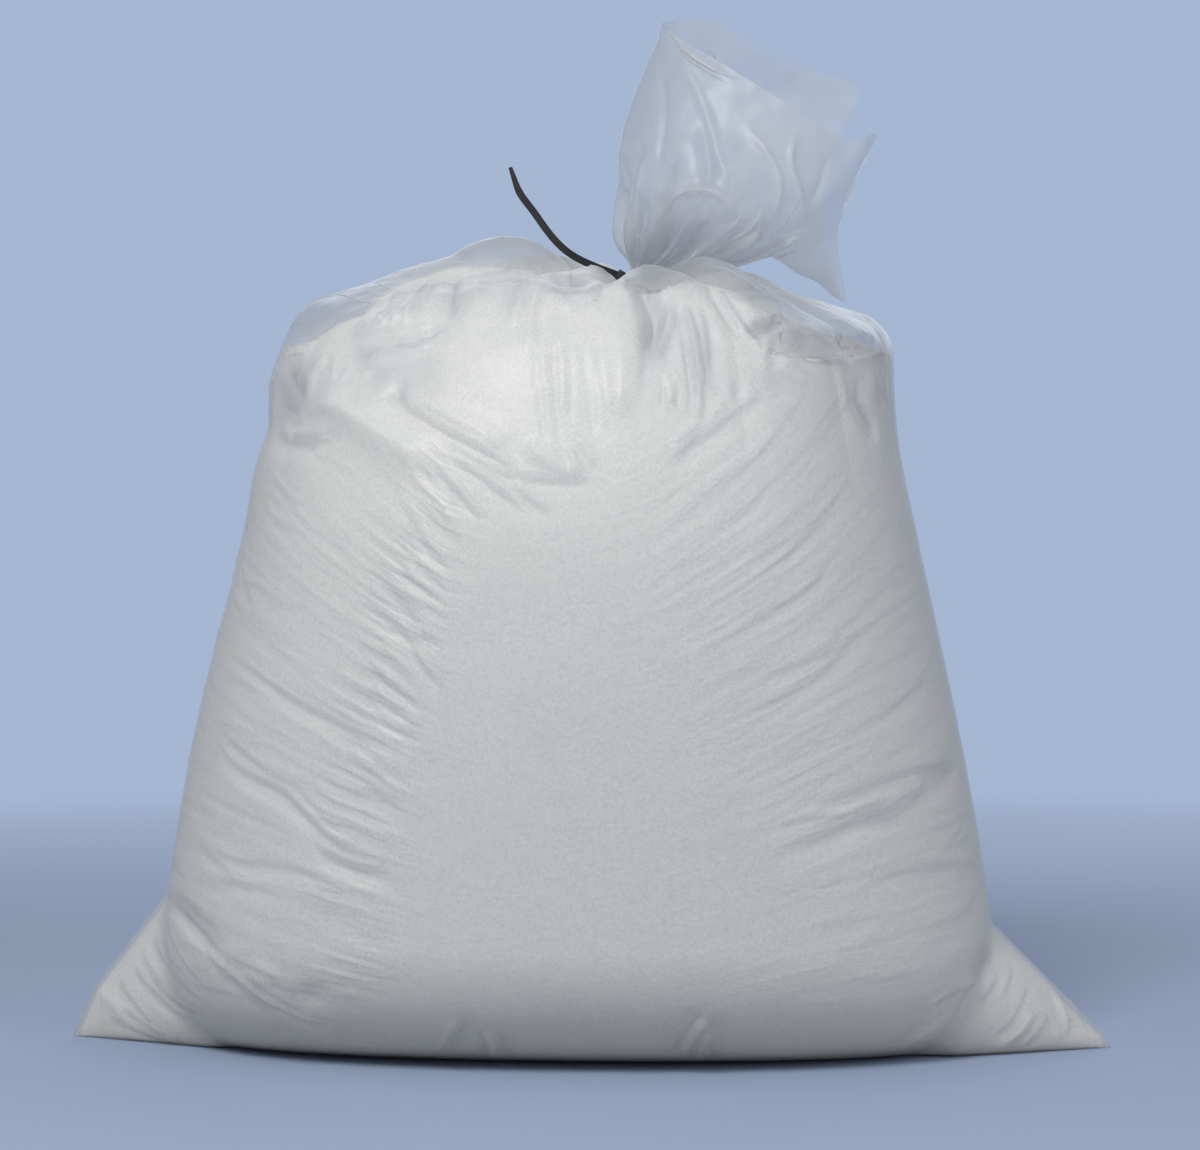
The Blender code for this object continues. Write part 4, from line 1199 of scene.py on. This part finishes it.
def make_glints(name, finish, surface, glints):
    """Thin raised folds along paths in the photograph, tapered at both ends, milky as doubled film and
    painted highlight.
    """
    points, faces = [], []
    for width, pixels in glints:
        found = [surface.seen_at(at) for at in smooth_path(pixels, GLINT_POINTS)]
        found = [(point, normal) for point, normal in found if point is not None]
        if len(found) < 4:
            continue
        path, normals = map(np.array, zip(*found))
        aside = np.cross(np.gradient(path, axis=0), normals)
        aside /= np.maximum(np.linalg.norm(aside, axis=1, keepdims=True), 1e-9)
        half = 0.5e-3 * width * np.sin(math.pi * np.linspace(0.04, 0.96, len(path)))[:, None] ** 0.7
        ribs = []
        for across, rise in GLINT_PROFILE:
            ribs.append(path + across * half * aside + (GLINT_LIFT + rise * half) * normals)
        first = len(points)
        points.extend(np.stack(ribs, axis=1).reshape(-1, 3) + BAG_AXIS)
        faces.extend((grid_faces(len(path), len(GLINT_PROFILE), False) + first).tolist())
    mesh = bpy.data.meshes.new(name)
    mesh.from_pydata([tuple(point) for point in points], [], faces)
    for label, value in GLINT_VALUES:
        mesh.attributes.new(label, "FLOAT", "POINT").data.foreach_set("value", [value] * len(points))
    mesh.shade_smooth()
    place_piece(name, mesh, finish, "film_bag")


def make_plume(finish):
    """The film inside the tie and the loose plume above it. Returns the plume's surface."""
    degrees = np.linspace(-180, 180, PLUME_COLUMNS + 1)[:-1]
    rows = [neck_ring(degrees, along) for along in np.linspace(0, NECK_LENGTH, 8)[:-1]]
    rows.extend(plume_ring(degrees, step**1.3) for step in np.linspace(0, 1, PLUME_ROWS))
    grid = np.array(rows)
    soft = crumples(grid.reshape(-1, 3), PLUME_CRUMPLES)
    soft = soft.reshape(grid.shape[:2]) * ease((np.arange(len(grid)) - 12) / 50)[:, None]
    normals = normals_of(grid)
    strokes = photo_strokes(Surface(grid, 1), PLUME_CREASES, PLUME_TAPER, PLUME_DEPTH)
    soft += stroke_heights(grid, normals, strokes)
    # Milky lines along the ridges, partly for the doubled film and partly as painted highlights
    ridges = [stroke for stroke in strokes if stroke.kind == "ridge"]
    lines = [Stroke(made.path, made.normals, "line", 0.8 * made.width, 1.0, made.taper) for made in ridges]
    milky = stroke_heights(grid, normals, lines)
    grid = grid + normals * soft[..., None]
    row, column = np.meshgrid(np.arange(grid.shape[0]), np.arange(grid.shape[1]), indexing="ij")
    streaks = noise(np.column_stack([row.ravel() / 45, column.ravel() / 5, np.zeros(row.size)]), STREAK_SEED)
    gathered = gathered_share(grid, PLUME_GIRTH)
    veil = PLUME_VEIL + PLUME_GATHERED_VEIL * gathered + PLUME_RIDGE_VEIL * np.clip(milky, 0, 1)
    veil += PLUME_STREAK_VEIL * streaks.reshape(row.shape)
    # free tints the plume a bluish grey as painted shade, less at its gathered foot
    values = [("veil", veil), ("free", 0.85 - 0.6 * gathered)]
    mesh = grid_mesh("film_plume", grid, normals_of(grid), True, values)
    place_piece("film_plume", mesh, finish, "film_bag")
    return Surface(grid, 1)


def make_inner_folds(finish):
    """Film that is folded over inside the foot of the plume."""
    degrees = np.linspace(-180, 180, INNER_COLUMNS + 1)[:-1]
    wave = 0.5 + 0.5 * np.sin(np.radians(degrees) * 9 + 1.1 * np.sin(np.radians(degrees) * 2))
    rows = []
    for step in np.linspace(0.02, 1, INNER_ROWS):
        ring = plume_ring(degrees, 0.50 * step)
        middle = ring.mean(axis=0)
        narrow = 0.86 - 0.30 * step - 0.16 * wave * math.sin(math.pi * min(1, 1.15 * step))
        rows.append(middle + (ring - middle) * narrow[:, None])
    grid = np.array(rows)
    soft = crumples(grid.reshape(-1, 3), INNER_CRUMPLES).reshape(grid.shape[:2])
    soft *= ease(np.arange(len(grid)) / 20)[:, None]
    grid = grid + normals_of(grid) * soft[..., None]
    rise = np.linspace(0, 1, INNER_ROWS)[:, None] * np.ones(grid.shape[1])
    values = [("veil", INNER_VEIL - INNER_VEIL_FALL * rise), ("free", np.full(rise.shape, INNER_FREE))]
    mesh = grid_mesh("film_inner_folds", grid, normals_of(grid), True, values)
    place_piece("film_inner_folds", mesh, finish, "film_bag")


# Beads

# Height of the heap's crest from left to right, in metres, as the camera sees it across the bag's axis
HEAP_LINE = (
    (-0.309, 0.700), (-0.298, 0.722), (-0.272, 0.726), (-0.250, 0.738), (-0.231, 0.749),
    (-0.205, 0.756), (-0.192, 0.777), (-0.180, 0.787), (-0.155, 0.797), (-0.130, 0.805),
    (-0.093, 0.804), (-0.051, 0.802), (-0.030, 0.797), (-0.016, 0.802), (0.011, 0.810),
    (0.029, 0.809), (0.047, 0.802), (0.063, 0.790), (0.074, 0.776), (0.088, 0.774),
    (0.104, 0.777), (0.125, 0.787), (0.141, 0.788), (0.170, 0.780), (0.198, 0.762),
    (0.232, 0.745), (0.284, 0.725), (0.320, 0.715),
)
# Pockets where the film stands off the beads: pixel, radius in pixels, depth in metres
POCKETS = (
    ((283, 412), 24, 0.030),
    ((279, 392), 16, 0.018),
    ((886, 368), 15, 0.022),
)
# The hollow in the beads above the right shoulder's fold, and the taper of its ends
HOLLOW_TAPER = 0.12
SHOULDER_HOLLOW = ("lip", 24, -26.0, (
    (742, 322), (766, 343), (790, 351), (815, 356), (847, 354), (868, 352), (890, 348)
))


def fill_grid():
    """The heap under the film, still without creases and filled up to the neck."""
    standing = wall_grid(FILL_WALL, FILL_FRONT, FILL_BACK, FILL_FLOOR, FILL_GAP, FILL_EAR_GAP)
    right, left = standing[0][0][0], -standing[0][FILL_BACK][0]
    rows = underside(standing[0], FILL_UNDER, right, left, FILL_BACK) + standing
    shoulder = section(SHOULDER_HEIGHT, FILL_FRONT, FILL_BACK)
    top = [top_ring(shoulder, share) for share in top_shares(FILL_TOP)[:-FILL_NECK_ROWS]]
    top = np.array([rows[-1]] + top)
    top[1:] -= normals_of(top)[1:] * FILL_TOP_GAP
    return swollen(np.concatenate([np.array(rows), top[1:]]))


def spread_low(field):
    """The lowest value among each point and its neighbours."""
    lowest = field.copy()
    for row in (-1, 0, 1):
        for column in (-1, 0, 1):
            lowest = np.minimum(lowest, np.roll(np.roll(field, row, axis=0), column, axis=1))
    return lowest


def heap_grid(creases, surface, skin):
    """The heap of beads: it follows the creased film, and falls away from it in the pockets. Also tells
    which of its points lay above the heap's crest."""
    base = fill_grid()
    normals = normals_of(base)
    pressed = [stroke for stroke in creases if stroke.kind != "lip"]
    height = spread_low(spread_low(stroke_heights(base, normals, pressed)) + drape_noise(base))
    height -= FILL_CREASE_GAP
    height += stroke_heights(base, normals, photo_strokes(surface, [SHOULDER_HOLLOW], HOLLOW_TAPER))
    height[: FILL_UNDER + 1] = 0
    for pixel, radius, depth in POCKETS:
        centre, _ = surface.seen_at(pixel)
        if centre is not None:
            far = np.linalg.norm(base - centre, axis=2) / (radius * METRES_PER_PIXEL)
            height -= depth * np.exp(-(far**3))
    grid = base + normals * height[..., None]
    grain = crumples(grid.reshape(-1, 3), CREST_GRAIN)
    nearer = (CAMERA_DISTANCE + grid[..., 1]) / CAMERA_DISTANCE
    line = np.interp(grid[..., 0] / nearer, *np.array(HEAP_LINE).T)
    crest = CAMERA_HEIGHT + (line - CAMERA_HEIGHT) * nearer + grain.reshape(grid.shape[:2])
    above = grid[..., 2] > crest
    grid[..., 2] = np.clip(grid[..., 2], FILL_FLOOR, crest)
    high = grid[len(grid) - FILL_TOP - FILL_WALL // 4 :]
    covered = skin.kept_under(high.reshape(-1, 3), HEAP_GAP)
    for _ in range(2):
        covered = skin.kept_inside(covered, HEAP_GAP)
    high[:] = covered.reshape(high.shape)
    dimple = grid[-1].mean(axis=0) - np.array([0, 0, HEAP_DIMPLE])
    return np.concatenate([grid, np.tile(dimple, (1, grid.shape[1], 1))]), above


def make_heap(finish, grid):
    """The heap in two pieces, in front and behind."""
    shading = normals_of(grid)
    front = np.r_[FILL_BACK : FILL_BACK + FILL_FRONT, 0]
    back = np.arange(0, FILL_BACK + 1)
    for name, columns in (("bead_heap_front", front), ("bead_heap_back", back)):
        values = [(label, value[:, columns]) for label, value in drape_values(grid)]
        mesh = grid_mesh(name, grid[:, columns], shading[:, columns], False, values)
        place_piece(name, mesh, finish, "bead_fill")


def make_loose_beads(finish, grid, above, skin, rng):
    """Single beads along the heap's crest, where the clear film shows them."""
    crest = above[:-1] & ~above[1:] | ~above[:-1] & above[1:]
    row, column = np.nonzero(crest)
    places = grid[row, column]
    chosen = places[rng.choice(len(places), min(LOOSE_BEADS, len(places)), replace=False)]
    work = bmesh.new()
    bmesh.ops.create_icosphere(work, subdivisions=2, radius=1.0)
    ball = np.array([vertex.co[:] for vertex in work.verts])
    sides = np.array([[vertex.index for vertex in face.verts] for face in work.faces])
    work.free()
    radii = rng.uniform(*LOOSE_RADII, len(chosen))
    aside, back = (rng.uniform(-LOOSE_STRAY, LOOSE_STRAY, len(chosen)) for _ in range(2))
    placed = chosen + np.stack([aside, back, radii * 0.4], 1)
    centres = skin.kept_inside(skin.kept_under(placed, LOOSE_GAP), LOOSE_GAP)
    points = (centres + BAG_AXIS)[:, None] + ball[None] * radii[:, None, None]
    faces = sides[None] + len(ball) * np.arange(len(chosen))[:, None, None]
    mesh = bpy.data.meshes.new("loose_beads")
    mesh.from_pydata(points.reshape(-1, 3).tolist(), [], faces.reshape(-1, 3).tolist())
    mesh.shade_smooth()
    place_piece("loose_beads", mesh, finish, "bead_fill")


# Cable tie


# Section of the strap: places across it in half widths, and through it in thicknesses
STRAP_SECTION = (
    (1, -0.3), (1, 0.3), (0.86, 0.5), (-0.86, 0.5), (-1, 0.3), (-1, -0.3), (-0.8, -0.5),
    (-0.62, -0.5), (-0.62, -0.5), (0.62, -0.5), (0.62, -0.5), (0.8, -0.5),
)


def ribbon(centres, along, widthways, widths, teeth):
    """Sections of a strap with rounded edges, along its centres, with or without teeth inside."""
    profile = np.array(STRAP_SECTION)
    rings = []
    for index, (centre, heading, aside, width) in enumerate(zip(centres, along, widthways, widths)):
        face = np.cross(heading, aside)
        shape = profile.copy()
        if teeth and index % 4 < 2:
            shape[(np.abs(shape[:, 0]) < 0.7) & (shape[:, 1] < 0)] += (0, 0.18)
        across, through = shape[:, 0] * width / 2, shape[:, 1] * TIE_THICKNESS
        rings.append(centre + np.outer(across, aside) + np.outer(through, face))
    return np.array(rings)


def closed_tube(name, rings):
    """A mesh through closed rings, with a face over each end."""
    rows, columns = rings.shape[:2]
    faces = grid_faces(rows, columns, True).tolist()
    faces.append(tuple(range(columns))[::-1])
    faces.append(tuple((rows - 1) * columns + column for column in range(columns)))
    mesh = bpy.data.meshes.new(name)
    mesh.from_pydata((rings.reshape(-1, 3) + BAG_AXIS).tolist(), [], faces)
    mesh.validate()
    mesh.update()
    return mesh


def tie_frame():
    """Centre of the tie's head, and its directions: out through its slot, round and along the neck."""
    foot, axis, across, _ = neck_frame()
    reach = NECK_RADIUS + TIE_CLEARANCE + TIE_HEAD[0] / 2
    centre = foot + axis * NECK_LENGTH / 2 - across * reach
    return centre, -across, np.cross(axis, -across), axis


def make_tie_loop(finish):
    """The part of the strap that goes round the neck."""
    foot, axis, across, back = neck_frame()
    middle = foot + axis * NECK_LENGTH / 2
    radius = NECK_RADIUS + TIE_CLEARANCE + TIE_THICKNESS / 2
    turns = np.linspace(0, 2 * math.pi, 241)
    outward = np.cos(turns)[:, None] * across + np.sin(turns)[:, None] * back
    heading = -np.sin(turns)[:, None] * across + np.cos(turns)[:, None] * back
    axes, widths = [axis] * len(turns), [TIE_WIDTH] * len(turns)
    rings = ribbon(middle + radius * outward, heading, axes, widths, False)
    place_piece("tie_loop", closed_tube("tie_loop", rings), finish, "cable_tie")


def make_tie_tail(finish):
    """The tail: nearly straight, with a small kink before its narrow tip."""
    centre, out, _, _ = tie_frame()
    level, behind, up = np.array([-1.0, 0.0, 0.0]), np.array([0.0, 1.0, 0.0]), np.array([0.0, 0.0, 1.0])
    point = centre + out * (TIE_HEAD[0] / 2 - TIE_THICKNESS)
    centres, headings, asides, widths = [], [], [], []
    for share in np.linspace(0, 1, TAIL_STEPS + 1):
        slope = math.radians(float(between(TAIL_SLOPES, share)[0]))
        heading = math.cos(slope) * level + math.sin(slope) * up + TAIL_BACK * behind
        heading = heading / np.linalg.norm(heading)
        tapered = min(TIE_TAIL * (1 - share) / TIE_TIP, 1)
        centres.append(point)
        headings.append(heading)
        asides.append(math.cos(slope) * up - math.sin(slope) * level)
        widths.append(TIE_TIP_WIDTH + (TIE_WIDTH - TIE_TIP_WIDTH) * tapered)
        point = point + heading * TIE_TAIL / TAIL_STEPS
    tail = closed_tube("tie_tail", ribbon(centres, headings, asides, widths, True))
    place_piece("tie_tail", tail, finish, "cable_tie")


def make_tie_head(finish):
    """The head, a block with rounded edges."""
    centre, out, round_neck, axis = tie_frame()
    mesh = bpy.data.meshes.new("tie_head")
    corners = [(x, y, z) for x in (-0.5, 0.5) for y in (-0.5, 0.5) for z in (-0.5, 0.5)]
    sides = [(0, 1, 3, 2), (4, 6, 7, 5), (0, 4, 5, 1), (2, 3, 7, 6), (0, 2, 6, 4), (1, 5, 7, 3)]
    points = [
        centre + x * TIE_HEAD[0] * out + y * TIE_HEAD[1] * round_neck + z * TIE_HEAD[2] * axis + BAG_AXIS
        for x, y, z in corners
    ]
    mesh.from_pydata([tuple(point) for point in points], [], sides)
    mesh.validate()
    head = place_piece("tie_head", mesh, finish, "cable_tie")
    edges = head.modifiers.new("rounded edges", "BEVEL")
    edges.width = 0.0012
    edges.segments = 4
    mesh.shade_smooth()


# Floor, light and camera


def backdrop_ray(tree):
    """1 for rays that meet the backdrop's colour: the camera's, and those of gloss and clear film."""
    path = add_node(tree, "LightPath")
    rays = [path.outputs[label] for label in ("Is Camera Ray", "Is Glossy Ray", "Is Transmission Ray")]
    return computed(tree, "MAXIMUM", computed(tree, "MAXIMUM", rays[0], rays[1]), rays[2])


def make_stage():
    """A pale floor that fades into a plain backdrop. Light that bounces from it stays neutral."""
    made, tree = new_material("stage")
    place = add_node(tree, "NewGeometry").outputs["Position"]
    far = add_node(tree, "VectorMath", (("operation", "LENGTH"),), i0=place).outputs["Value"]
    smooth = (("interpolation_type", "SMOOTHSTEP"),)
    fade = add_node(tree, "MapRange", smooth, i0=far, i1=FADE_START, i2=FADE_END).outputs[0]
    ray = backdrop_ray(tree)
    shown = mixed_colour(tree, ray, FLOOR_COLOUR, STAGE_COLOUR)
    matt = add_node(tree, "BsdfDiffuse", Color=shown).outputs[0]
    glow = add_node(tree, "Emission", Color=STAGE_COLOUR).outputs[0]
    both = mixed_shader(tree, computed(tree, "MULTIPLY", fade, ray), matt, glow)
    add_node(tree, "OutputMaterial", Surface=both)
    mesh = bpy.data.meshes.new("floor")
    turns = np.linspace(0, 2 * math.pi, 97)[:-1]
    ring = [(FLOOR_RADIUS * math.cos(turn), FLOOR_RADIUS * math.sin(turn), -FLOOR_DROP) for turn in turns]
    mesh.from_pydata(ring, [], [tuple(range(len(ring)))])
    mesh.materials.append(made)
    floor = bpy.data.objects.new("floor", mesh)
    bpy.context.scene.collection.objects.link(floor)


def make_world():
    """Soft light from all round, with the backdrop's colour where the camera sees it."""
    world = bpy.data.worlds.new("studio")
    bpy.context.scene.world = world
    world.use_nodes = True
    tree = world.node_tree
    tree.nodes.clear()
    soft = add_node(tree, "Background", Color=WORLD_COLOUR, Strength=WORLD_STRENGTH).outputs[0]
    seen = add_node(tree, "Background", Color=STAGE_COLOUR, Strength=1.0).outputs[0]
    add_node(tree, "OutputWorld", Surface=mixed_shader(tree, backdrop_ray(tree), soft, seen))


def make_lights():
    """The lamps, each a rectangle that faces its target."""
    for name, place, target, size, power, colour in LAMPS:
        data = bpy.data.lights.new(name, "AREA")
        data.shape = "RECTANGLE"
        data.size, data.size_y = size
        data.energy = power
        data.color = colour
        lamp = bpy.data.objects.new(name, data)
        lamp.location = place
        lamp.rotation_euler = (Vector(target) - Vector(place)).to_track_quat("-Z", "Y").to_euler()
        bpy.context.scene.collection.objects.link(lamp)


def make_camera():
    """The photograph's camera."""
    place, right, up, forward = camera_frame()
    data = bpy.data.cameras.new("camera")
    data.sensor_width = SENSOR
    data.lens = SENSOR * FOCAL_PIXELS / PHOTO_WIDTH
    camera = bpy.data.objects.new("camera", data)
    turned = Matrix([list(right), list(up), list(-forward)]).transposed().to_4x4()
    turned.translation = Vector(place + BAG_AXIS)
    camera.matrix_world = turned
    bpy.context.scene.collection.objects.link(camera)
    bpy.context.scene.camera = camera


def main():
    """Builds the stage, and then the bag from the inside out."""
    make_camera()
    make_stage()
    make_world()
    make_lights()
    film, beads, nylon = film_material(), bead_material(), nylon_material()
    base = film_grid()
    surface = Surface(base[UNDER_ROWS:])
    rng = np.random.default_rng(SEED)
    creases = []
    for rows, taper, depth in BAG_CREASES:
        creases += photo_strokes(surface, rows, taper, depth)
    creases += front_wrinkles(surface, rng) + round_wrinkles(surface, rng)
    grid, height = creased_film(base, creases)
    skin = Surface(grid[UNDER_ROWS:], 1)
    heap, above = heap_grid(creases, surface, skin)
    make_heap(beads, heap)
    make_loose_beads(beads, heap, above, skin, rng)
    make_film(film, base, grid, height, heap)
    make_glints("film_top_glints", film, skin, TOP_GLINTS)
    make_glints("film_plume_glints", film, make_plume(film), PLUME_GLINTS)
    make_inner_folds(film)
    make_tie_loop(nylon)
    make_tie_head(nylon)
    make_tie_tail(nylon)


main()
bpy.context.scene.view_settings.view_transform = "Standard"
bpy.context.view_layer.update()
